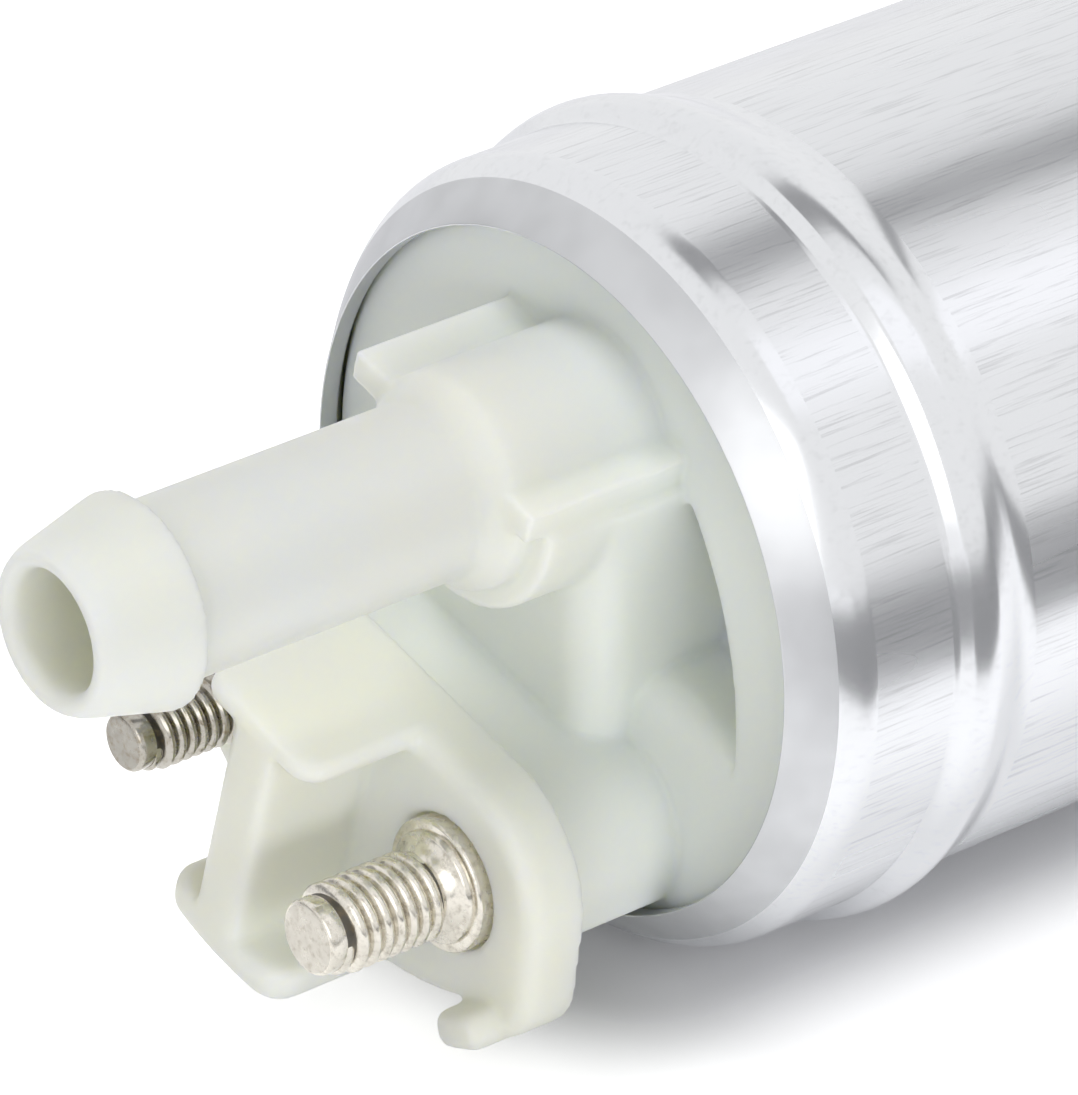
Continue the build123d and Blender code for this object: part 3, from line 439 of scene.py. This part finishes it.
def helix(start, radius, section, pitch, turns, at, taper=0, steps=40):
    """Closed ridge or wire swept along a helix.

    The section holds (along, out) pairs in millimetres. A ridge runs out into its root over
    taper steps at each end.
    """
    shape = bmesh.new()
    corners = [
        shape.verts.new((at[0] + (radius + out) * MM, along(start + ahead), at[1]))
        for ahead, out in section
    ]
    face = shape.faces.new(corners)
    count = round(turns * steps)
    bmesh.ops.spin(
        shape, geom=[face], cent=(at[0], 0, at[1]), axis=(0, 1, 0), dvec=(0, pitch * MM / steps, 0),
        angle=2 * math.pi * turns, steps=count, use_merge=False, use_duplicate=False,
    )
    shape.verts.ensure_lookup_table()
    if taper:
        root = (radius + min(out for ahead, out in section)) * MM
        for index, vert in enumerate(shape.verts):
            step = index // len(section)
            share = min(1.0, (step + 1) / taper, (count - step + 1) / taper)
            reach = Vector((vert.co.x - at[0], 0, vert.co.z - at[1]))
            fresh = reach.normalized() * (root + (reach.length - root) * share)
            vert.co.x, vert.co.z = at[0] + fresh.x, at[1] + fresh.z
    bmesh.ops.recalc_face_normals(shape, faces=shape.faces)
    return shape


def node_copy(node):
    """A CAD node's mesh as a bmesh with its loose triangles merged."""
    shape = bmesh.new()
    shape.from_mesh(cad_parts[node].data)
    bmesh.ops.remove_doubles(shape, verts=shape.verts, dist=0.001 * MM)
    return shape


def cut_closed(shape, station, keep_front):
    """Cuts a shape across at a station and closes the cut."""
    cut = bmesh.ops.bisect_plane(
        shape, geom=shape.verts[:] + shape.edges[:] + shape.faces[:], dist=MERGE_DISTANCE,
        plane_co=(0, along(station), 0), plane_no=(0, 1, 0), clear_outer=keep_front,
        clear_inner=not keep_front,
    )
    border = [item for item in cut["geom_cut"] if isinstance(item, bmesh.types.BMEdge)]
    bmesh.ops.triangle_fill(shape, use_beauty=True, use_dissolve=False, edges=border)
    bmesh.ops.remove_doubles(shape, verts=shape.verts, dist=MERGE_DISTANCE)
    bmesh.ops.recalc_face_normals(shape, faces=shape.faces)


def emptied(holder):
    """The node tree of a new material or world, without its usual nodes."""
    holder.use_nodes = True
    holder.node_tree.nodes.clear()
    return holder.node_tree


def stage_object(scene, name, shape, material):
    """Turns a bmesh into an object that stands round the pump."""
    mesh = bpy.data.meshes.new(name)
    shape.to_mesh(mesh)
    shape.free()
    mesh.materials.append(material)
    piece = bpy.data.objects.new(name, mesh)
    scene.collection.objects.link(piece)
    return piece


class FUELPUMP_OT_casing(Operator):
    """Spin the drawn aluminium casing with its lips and rolled bead"""

    bl_idname = "fuelpump.casing"
    bl_label = "Casing"

    def execute(self, context):
        sizes = settings().sizes
        outer = sizes.barrel_radius / MM
        sheet = sizes.sheet / MM
        inner = outer - sheet
        opening = sizes.opening_radius / MM
        bead = sizes.bead_height / MM
        front_flank = outer + FRONT_FLANK_SHARE * bead
        rear_flank = outer + REAR_FLANK_SHARE * bead
        end = CASING_LENGTH
        slope = (inner - opening) / (SHOULDER_RADIUS - opening) * SHOULDER_STATION
        shape = turned([
            (0, opening), (SHOULDER_STATION, SHOULDER_RADIUS), (BARREL_START, outer),
            (BEAD_START, outer), (BEAD_FRONT_FLANK, front_flank), (BEAD_CREST, outer + bead),
            (BEAD_REAR_FLANK, rear_flank), (BEAD_END, outer), (end - BARREL_START, outer),
            (end - SHOULDER_STATION, SHOULDER_RADIUS), (end, opening), (end - sheet, opening),
            (end - sheet - slope, inner), (BEAD_END, inner), (BEAD_INNER_CREST, inner + bead),
            (BEAD_FRONT_FLANK, inner), (sheet + slope, inner), (sheet, opening),
        ], steps=256)
        for station, radius, offset, segments in (
            (0, opening, 0.22, 3),
            (SHOULDER_STATION, SHOULDER_RADIUS, 0.55, 4),
            (BARREL_START, outer, 0.5, 4),
            (BEAD_START, outer, 0.22, 3),
            (BEAD_FRONT_FLANK, front_flank, 0.16, 3),
            (BEAD_CREST, outer + bead, 0.5, 5),
            (BEAD_REAR_FLANK, rear_flank, 0.5, 5),
            (BEAD_END, outer, 0.7, 5),
            (end - BARREL_START, outer, 0.5, 4),
            (end - SHOULDER_STATION, SHOULDER_RADIUS, 0.55, 4),
            (end, opening, 0.22, 3),
            (end - sheet, opening, 0.12, 2),
            (sheet, opening, 0.12, 2),
        ):
            round_rim(shape, station, radius, offset, segments)
        for face in shape.faces:
            station = station_of(face)
            depth = min(station, end - station)
            if depth < LIP_FINISH_DEPTH:
                face.material_index = 1
            elif depth < ROLLED_EDGE_DEPTH or ROLLED_BEAD_START < station < ROLLED_BEAD_END:
                face.material_index = 2
        colour = settings().colours.aluminium
        finishes = [brushed_aluminium(colour), lip_aluminium(colour), rolled_aluminium(colour)]
        add_piece("casing_tube", shape, finishes, "housing", ["shell"])
        return {"FINISHED"}


class FUELPUMP_OT_outlet_cover(Operator):
    """Remake the moulded outlet cover with softly rounded edges"""

    bl_idname = "fuelpump.outlet_cover"
    bl_label = "Outlet cover"

    def execute(self, context):
        sizes = settings().sizes
        ivory = ivory_acetal(settings().colours.ivory)
        front = node_copy("outlet_cover")
        cut_closed(front, COVER_CUT, True)
        moulding = add_piece(
            "cover_moulding", front, [ivory], "housing", ["outlet_cover"],
        )
        remesh = moulding.modifiers.new("Remake", "REMESH")
        remesh.mode = "VOXEL"
        remesh.voxel_size = sizes.cover_grain
        remesh.use_smooth_shade = True
        soften = moulding.modifiers.new("Soften", "SMOOTH")
        soften.factor = 0.5
        soften.iterations = sizes.cover_softening
        thin = moulding.modifiers.new("Thin", "DECIMATE")
        thin.ratio = 0.5
        evaluated = moulding.evaluated_get(context.evaluated_depsgraph_get())
        made = bpy.data.meshes.new_from_object(evaluated)
        moulding.modifiers.clear()
        moulding.data = made
        made.shade_smooth()
        rear = node_copy("outlet_cover")
        cut_closed(rear, COVER_CUT, False)
        add_piece("cover_skirt", rear, [ivory], "housing")
        return {"FINISHED"}


class FUELPUMP_OT_terminals(Operator):
    """Turn both plated studs and cut their helical threads"""

    bl_idname = "fuelpump.terminals"
    bl_label = "Terminal studs"

    def execute(self, context):
        sizes, colours = settings().sizes, settings().colours
        for name, place, radius, pitch, point, collar, shine, tarnish in (
            ("positive", POSITIVE_PLACE, 2.5, sizes.positive_pitch / MM, 0.95, 3.65, 1.0, 0.5),
            ("negative", NEGATIVE_PLACE, 2.0, sizes.negative_pitch / MM, 0.95, 3.15, 0.62, 0.8),
        ):
            at = cap_point(place)
            root = radius - THREAD_DEPTH_SHARE * pitch
            start = STUD_TIP + point
            nickel = [
                plated_nickel(f"{name}_nickel", shaded(colours.nickel, shine), 0.2, tarnish),
                # Thread's core between the ridges: real tarnish and painted shade, a much darker copy of
                # the plate.
                plated_nickel(f"{name}_tarnish_and_painted_shade_grooves", shaded(colours.nickel, 0.2 * shine), 0.4, 1.0),
                # End of the point: painted shade, a darker copy of the plate that dims a lamp's
                # reflection there.
                plated_nickel(f"{name}_point", shaded(colours.nickel, 0.8 * shine), 0.32, tarnish),
            ]
            body = self.stud(radius, root, start, collar, at)
            add_piece(f"{name}_stud_body", body, nickel, "housing", [f"{name}_stud"])
            thread = self.thread(radius, root, start, pitch, at)
            add_piece(f"{name}_stud_thread", thread, nickel[:1], "housing")
        return {"FINISHED"}

    def stud(self, radius, root, start, collar, at):
        """Stud from its point to the peg inside the cover, with the thread's core but no ridge."""
        tip = root + 0.05
        ring = radius + STUD_RING_WIDTH
        shank = radius - 0.3
        shape = turned([
            (STUD_TIP, 0), (STUD_TIP, tip), (start, tip), (start + 0.1, root), (STUD_NECK, root),
            (STUD_NECK + 0.3, radius - 0.1), (STUD_RING_START, radius + 0.1), (STUD_RING, ring),
            (STUD_COLLAR_TOP, radius + 0.6), (STUD_COLLAR_TOP, collar), (STUD_COLLAR_FOOT, collar),
            (STUD_COLLAR_FOOT, shank), (STUD_SHANK_END, shank), (STUD_SHANK_END, STUD_PEG_RADIUS),
            (STUD_PEG_END, STUD_PEG_RADIUS), (STUD_PEG_END, 0),
        ], at, steps=96)
        for station, rim, offset, segments in (
            (STUD_TIP, tip, 0.34, 4),
            (STUD_COLLAR_TOP, collar, 0.2, 3),
            (STUD_RING, ring, 0.12, 2),
            (STUD_PEG_END, STUD_PEG_RADIUS, 0.3, 3),
        ):
            round_rim(shape, station, rim, offset, segments, at)
        # Painted shade: the thread's core takes the much darker groove finish, and the end of the point a
        # darker copy of the plate.
        for face in shape.faces:
            station = station_of(face)
            if start + 0.16 < station < STUD_NECK:
                face.material_index = 1
            # The end of the point: painted shade.
            elif station < STUD_TIP + 0.02:
                face.material_index = 2
        return shape

    def thread(self, radius, root, start, pitch, at):
        """Helical ridge with a flat crest, from the point to the neck."""
        depth = radius - root
        # Half of the ridge's section: shares of the pitch from its middle, and millimetres over its crest
        flank = [(0.1, 0), (0.2, -0.06), (0.33, -0.3 * depth), (0.47, -depth - 0.04)]
        section = [(-share * pitch, out) for share, out in reversed(flank)]
        section += [(share * pitch, out) for share, out in flank]
        turns = (STUD_NECK - start - 0.15 * pitch) / pitch
        return helix(start + 0.25 * pitch, radius, section, pitch, turns, at, taper=12)


class FUELPUMP_OT_springs(Operator):
    """Wind the valve springs and the brush springs"""

    bl_idname = "fuelpump.springs"
    bl_label = "Springs"

    def execute(self, context):
        wire = settings().sizes.spring_wire / MM
        steel = plain_metal("spring_wire", (0.62, 0.63, 0.66, 1), 0.25, 3000)
        section = [
            (wire / 2 * math.cos(turn * math.pi / 4), wire / 2 * math.sin(turn * math.pi / 4))
            for turn in range(8)
        ]
        springs = {}
        for name, at, start, end, outside, coils in (
            ("check_valve_spring", cap_point(NOZZLE_PLACE), -5.8, 4.58, 2.4, 6),
            ("relief_valve_spring", (0, RELIEF_HEIGHT * MM), 106.38, 111.2, 2.1, 4),
            ("positive_brush_spring", cap_point((BRUSH_OFFSET, 0)), 9.0, 13.2, 2.4, 4),
            ("negative_brush_spring", cap_point((-BRUSH_OFFSET, 0)), 9.0, 13.2, 2.4, 4),
        ):
            rise = (end - start - wire) / coils
            coil = helix(start + wire / 2, outside - wire / 2, section, rise, coils, at)
            springs[name] = add_piece(
                f"{name}_coil", coil, [steel], "housing", [name],
            )
        for name, joint, anchor, keep in (
            ("check_valve_spring", "check_valve_lift", -5.8, 0.80),
            ("relief_valve_spring", "relief_valve_lift", 111.2, 0.66),
        ):
            piece = springs[name]
            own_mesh(piece)
        return {"FINISHED"}


class FUELPUMP_OT_inlet_end(Operator):
    """Soften the edges of the cast inlet cover"""

    bl_idname = "fuelpump.inlet_end"
    bl_label = "Inlet end"

    def execute(self, context):
        cast = plain_metal("cast_aluminium", (0.66, 0.67, 0.69, 1), 0.42, 2600, 0.88)
        shape = node_copy("inlet_cover")
        bmesh.ops.dissolve_limit(
            shape, angle_limit=math.radians(0.6), use_dissolve_boundaries=False, verts=shape.verts,
            edges=shape.edges, delimit={"NORMAL"},
        )
        piece = add_piece(
            "inlet_casting", shape, [cast], "housing", ["inlet_cover"],
        )
        bevel = piece.modifiers.new("Edges", "BEVEL")
        bevel.width = 0.35 * MM
        bevel.segments = 3
        bevel.limit_method = "ANGLE"
        bevel.angle_limit = math.radians(40)
        return {"FINISHED"}


class FUELPUMP_OT_inner_finishes(Operator):
    """Give every inner CAD part its finish"""

    bl_idname = "fuelpump.inner_finishes"
    bl_label = "Inner finishes"

    def execute(self, context):
        for name, colour, roughness, scale, depth, nodes in (
            ("seal_rubber", (0.03, 0.03, 0.03, 1), 0.6, 1800, 0.02, ("cover_seal", "inlet_seal")),
            ("valve_plastic", (0.10, 0.16, 0.24, 1), 0.4, 1200, 0.01,
             ("check_valve_guide", "check_valve_poppet", "thrust_button")),
            ("carbon", (0.05, 0.05, 0.052, 1), 0.55, 3000, 0.02, ("positive_brush", "negative_brush")),
            ("ferrite", (0.10, 0.10, 0.105, 1), 0.6, 1400, 0.03, ("magnet_right", "magnet_left")),
        ):
            self.dress(plain_solid(name, colour, roughness, scale, depth), nodes)
        for name, colour, roughness, scale, darkest, nodes in (
            ("turned_brass", (0.78, 0.60, 0.30, 1), 0.28, 2400, 0.7,
             ("check_valve_seat", "relief_valve_plug")),
            ("contact_copper", (0.80, 0.46, 0.30, 1), 0.3, 1500, 0.7,
             ("positive_strap", "negative_strap", "commutator")),
            ("sintered_bronze", (0.60, 0.44, 0.25, 1), 0.5, 4200, 0.5,
             ("upper_bearing", "lower_bearing")),
            ("core_laminations", (0.40, 0.40, 0.42, 1), 0.4, (60, 3000, 60), 0.45, ("armature_core",)),
            ("winding_copper", (0.62, 0.28, 0.15, 1), 0.32, (3200, 300, 3200), 0.5,
             ("armature_windings",)),
            ("back_iron_steel", (0.56, 0.56, 0.58, 1), 0.34, (1200, 200, 1200), 0.7, ("flux_ring",)),
            ("machined_aluminium", (0.66, 0.67, 0.69, 1), 0.3, 1800, 0.7, ("bearing_plate",)),
            ("sintered_steel", (0.46, 0.46, 0.48, 1), 0.38, 3600, 0.7,
             ("armature_shaft", "drive_pin", "rotor_ring", "inner_rotor", "outer_rotor")),
            ("ball_steel", (0.76, 0.77, 0.79, 1), 0.08, 300, 0.95, ("relief_valve_ball",)),
            ("clip_steel", (0.60, 0.61, 0.63, 1), 0.3, (900, 3000, 900), 0.7, ("magnet_clips",)),
        ):
            self.dress(plain_metal(name, colour, roughness, scale, darkest), nodes)
        return {"FINISHED"}

    def dress(self, finish, nodes):
        """Gives CAD nodes one finish."""
        for node in nodes:
            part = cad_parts[node]
            part.data.materials.clear()
            part.data.materials.append(finish)


class FUELPUMP_OT_stage(Operator):
    """Set the floor, the soft light and the camera"""

    bl_idname = "fuelpump.stage"
    bl_label = "Stage"

    def execute(self, context):
        scene = context.scene
        scene.view_settings.view_transform = "Standard"
        self.floor(scene)
        self.world(scene)
        for name, place, target, wide, high, power, shines in (
            ("key_light", (-0.32, -0.12, 0.94), (0, -0.05, 0), 0.5, 0.5, 4.8, False),
            ("side_light", (0.91, -0.24, 0.13), (0, -0.07, 0), 0.6, 0.22, 3.1, False),
            ("lip_light", (0.42, -0.78, 0.32), (0, -0.06, 0), 0.5, 0.5, 1.1, True),
            ("front_light", (0.40, -0.88, 0.18), (0, -0.08, 0), 0.4, 0.3, 0.6, False),
        ):
            lamp = bpy.data.lights.new(name, "AREA")
            lamp.shape = "RECTANGLE"
            lamp.size = wide
            lamp.size_y = high
            lamp.energy = power
            light = bpy.data.objects.new(name, lamp)
            light.location = place
            light.rotation_mode = "QUATERNION"
            light.rotation_quaternion = (Vector(target) - Vector(place)).to_track_quat("-Z", "Y")
            light.visible_glossy = shines
            scene.collection.objects.link(light)
        low = FLOOR_HEIGHT + 0.4 * MM
        for name, near, far, level in (
            ("dark_card_above", (-0.16, -0.25, 0.6), (0.02, 1.25, 0.6), 0.35),
            ("dark_card_beside", (0.062, -0.25, low), (0.9, 1.25, low), 0.35),
            ("dark_card_left", (-0.5, -1.5, 0.03), (-0.5, -0.22, 0.2), 0.3),
            ("pale_card_left", (-0.9, -1.5, low), (-0.05, 1.25, low), 0.95),
            ("bright_card", (0.20, -0.25, 0.55), (0.48, 1.25, 0.55), 1.2),
        ):
            self.card(scene, name, near, far, level)
        self.camera(scene)
        return {"FINISHED"}

    def seen(self, tree, reflected=1.0):
        """1 for rays straight from the camera, and a share of it for reflected or let-through ones."""
        path = tree.nodes.new("ShaderNodeLightPath")
        total = path.outputs["Is Camera Ray"]
        for ray in ("Is Glossy Ray", "Is Transmission Ray"):
            added = tree.nodes.new("ShaderNodeMath")
            added.operation = "MULTIPLY_ADD"
            added.use_clamp = True
            tree.links.new(path.outputs[ray], added.inputs[0])
            added.inputs[1].default_value = reflected
            tree.links.new(total, added.inputs[2])
            total = added.outputs["Value"]
        return total

    def card(self, scene, name, near, far, level):
        """Card between two opposite corners that only shows as a band in polished metal."""
        shape = bmesh.new()
        corners = (near, (far[0], near[1], far[2]), far, (near[0], far[1], near[2]))
        shape.faces.new([shape.verts.new(corner) for corner in corners])
        material = bpy.data.materials.new(name)
        tree = emptied(material)
        glow = tree.nodes.new("ShaderNodeEmission")
        glow.inputs["Color"].default_value = (level, level, level * 1.02, 1)
        out = tree.nodes.new("ShaderNodeOutputMaterial")
        tree.links.new(glow.outputs["Emission"], out.inputs["Surface"])
        card = stage_object(scene, name, shape, material)
        for ray in ("camera", "diffuse", "transmission", "volume_scatter", "shadow"):
            setattr(card, f"visible_{ray}", False)

    def floor(self, scene):
        """White floor that stays white to the camera and keeps the shadow, with a painted contact shadow
        round the casing where its glow fades out.
        """
        shape = bmesh.new()
        bmesh.ops.create_grid(shape, x_segments=2, y_segments=2, size=2.5)
        bmesh.ops.translate(shape, verts=shape.verts, vec=(0, 0, FLOOR_HEIGHT))
        material = bpy.data.materials.new("floor_white")
        tree = emptied(material)
        matt = tree.nodes.new("ShaderNodeBsdfDiffuse")
        matt.inputs["Color"].default_value = settings().colours.floor
        glow = tree.nodes.new("ShaderNodeEmission")
        glow.inputs["Color"].default_value = (1, 1, 1, 1)
        share = tree.nodes.new("ShaderNodeMath")
        share.operation = "MULTIPLY"
        tree.links.new(self.seen(tree, FLOOR_REFLECTED), share.inputs[0])
        # The floor's glow fades out near the casing: a painted contact shadow.
        tree.links.new(self.painted_shadow_glow(tree), share.inputs[1])
        tree.links.new(share.outputs["Value"], glow.inputs["Strength"])
        both = tree.nodes.new("ShaderNodeAddShader")
        tree.links.new(matt.outputs["BSDF"], both.inputs[0])
        tree.links.new(glow.outputs["Emission"], both.inputs[1])
        out = tree.nodes.new("ShaderNodeOutputMaterial")
        tree.links.new(both.outputs["Shader"], out.inputs["Surface"])
        floor = stage_object(scene, "floor", shape, material)

    def painted_shadow_glow(self, tree):
        """Glow of the floor: none where the casing rests, full a finger's width away from it, which
        paints a contact shadow round the casing.
        """
        value = tree.nodes.new("ShaderNodeTexCoord").outputs["Object"]
        for operation, vector in (
            ("SUBTRACT", (0, along(CASING_LENGTH / 2), FLOOR_HEIGHT)),
            ("ABSOLUTE", None),
            ("SUBTRACT", (PAINTED_SHADOW_STRIP_HALF_WIDTH, (CASING_LENGTH / 2 - BARREL_START) * MM, 0)),
            ("MAXIMUM", (0, 0, 0)),
        ):
            step = tree.nodes.new("ShaderNodeVectorMath")
            step.operation = operation
            tree.links.new(value, step.inputs[0])
            if vector:
                step.inputs[1].default_value = vector
            value = step.outputs["Vector"]
        length = tree.nodes.new("ShaderNodeVectorMath")
        length.operation = "LENGTH"
        tree.links.new(value, length.inputs[0])
        fade = tree.nodes.new("ShaderNodeMapRange")
        fade.interpolation_type = "SMOOTHSTEP"
        fade.inputs["From Min"].default_value = PAINTED_SHADOW_START
        fade.inputs["From Max"].default_value = PAINTED_SHADOW_END
        fade.inputs["To Max"].default_value = FLOOR_GLOW
        tree.links.new(length.outputs["Value"], fade.inputs["Value"])
        return fade.outputs["Result"]

    def world(self, scene):
        """White surroundings to the camera, softly banded light on the object."""
        world = bpy.data.worlds.new("studio")
        scene.world = world
        tree = emptied(world)
        direction = tree.nodes.new("ShaderNodeTexCoord").outputs["Generated"]
        parts = tree.nodes.new("ShaderNodeSeparateXYZ")
        tree.links.new(direction, parts.inputs["Vector"])
        ramp = tree.nodes.new("ShaderNodeValToRGB")
        tree.links.new(parts.outputs["Z"], ramp.inputs["Fac"])
        stops = ramp.color_ramp.elements
        stops[0].position, stops[0].color = 0.0, (0.42, 0.43, 0.45, 1)
        stops[1].position, stops[1].color = 1.0, (1.0, 1.0, 1.0, 1)
        for place, level in ((0.2, 0.62), (0.42, 1.0), (0.62, 0.72), (0.8, 0.95)):
            stop = stops.new(place)
            stop.color = (level, level, level * 1.01, 1)
        light = tree.nodes.new("ShaderNodeBackground")
        light.inputs["Strength"].default_value = 0.38
        tree.links.new(ramp.outputs["Color"], light.inputs["Color"])
        white = tree.nodes.new("ShaderNodeBackground")
        white.inputs["Color"].default_value = (1, 1, 1, 1)
        pick = tree.nodes.new("ShaderNodeMixShader")
        tree.links.new(self.seen(tree), pick.inputs[0])
        tree.links.new(light.outputs["Background"], pick.inputs[1])
        tree.links.new(white.outputs["Background"], pick.inputs[2])
        out = tree.nodes.new("ShaderNodeOutputWorld")
        tree.links.new(pick.outputs["Shader"], out.inputs["Surface"])

    def camera(self, scene):
        """The photograph's viewpoint: a long lens, looking down on the outlet end."""
        level = math.cos(CAMERA_LIFT)
        back = Vector((
            math.sin(CAMERA_TURN) * level, -math.cos(CAMERA_TURN) * level, math.sin(CAMERA_LIFT),
        ))
        right = Vector((math.cos(CAMERA_TURN), math.sin(CAMERA_TURN), 0))
        up = back.cross(right)
        target = Vector((0, along(0), 0))
        data = bpy.data.cameras.new("camera")
        data.sensor_width = CAMERA_SENSOR
        data.lens = CAMERA_LENS
        data.clip_start, data.clip_end = 0.01, 20
        camera = bpy.data.objects.new("camera", data)
        camera.location = (
            target + back * CAMERA_DISTANCE - right * CAMERA_SHIFT_LEFT + up * CAMERA_SHIFT_UP
        )
        camera.rotation_mode = "QUATERNION"
        camera.rotation_quaternion = (-back).to_track_quat("-Z", "Y")
        scene.collection.objects.link(camera)
        scene.camera = camera


class FUELPUMP_PT_build(Panel):
    """Sizes, colours and building steps of the fuel pump"""

    bl_label = "Fuel pump"
    bl_idname = "FUELPUMP_PT_build"
    bl_space_type = "VIEW_3D"
    bl_region_type = "UI"
    bl_category = "Fuel pump"

    def draw(self, context):
        pump = context.scene.fuel_pump
        for group in (pump.sizes, pump.colours):
            box = self.layout.box()
            for name in group.bl_rna.properties.keys():
                if name not in ("rna_type", "name"):
                    box.prop(group, name)
        column = self.layout.column(align=True)
        for step in STEPS:
            column.operator(step.bl_idname)


STEPS = (
    FUELPUMP_OT_casing,
    FUELPUMP_OT_outlet_cover,
    FUELPUMP_OT_terminals,
    FUELPUMP_OT_springs,
    FUELPUMP_OT_inlet_end,
    FUELPUMP_OT_inner_finishes,
    FUELPUMP_OT_stage,
)
CLASSES = (PumpSizes, PumpColours, PumpSettings, *STEPS, FUELPUMP_PT_build)


def register():
    """Adds the settings, the building steps and the panel."""
    for item in CLASSES:
        bpy.utils.register_class(item)
    bpy.types.Scene.fuel_pump = PointerProperty(type=PumpSettings)


def unregister():
    """Removes them again."""
    del bpy.types.Scene.fuel_pump
    for item in reversed(CLASSES):
        bpy.utils.unregister_class(item)


def main():
    """Builds the dressed pump."""
    register()
    bpy.ops.fuelpump.casing()
    bpy.ops.fuelpump.outlet_cover()
    bpy.ops.fuelpump.terminals()
    bpy.ops.fuelpump.springs()
    bpy.ops.fuelpump.inlet_end()
    bpy.ops.fuelpump.inner_finishes()
    bpy.ops.fuelpump.stage()


if __name__ == "__main__":
    main()
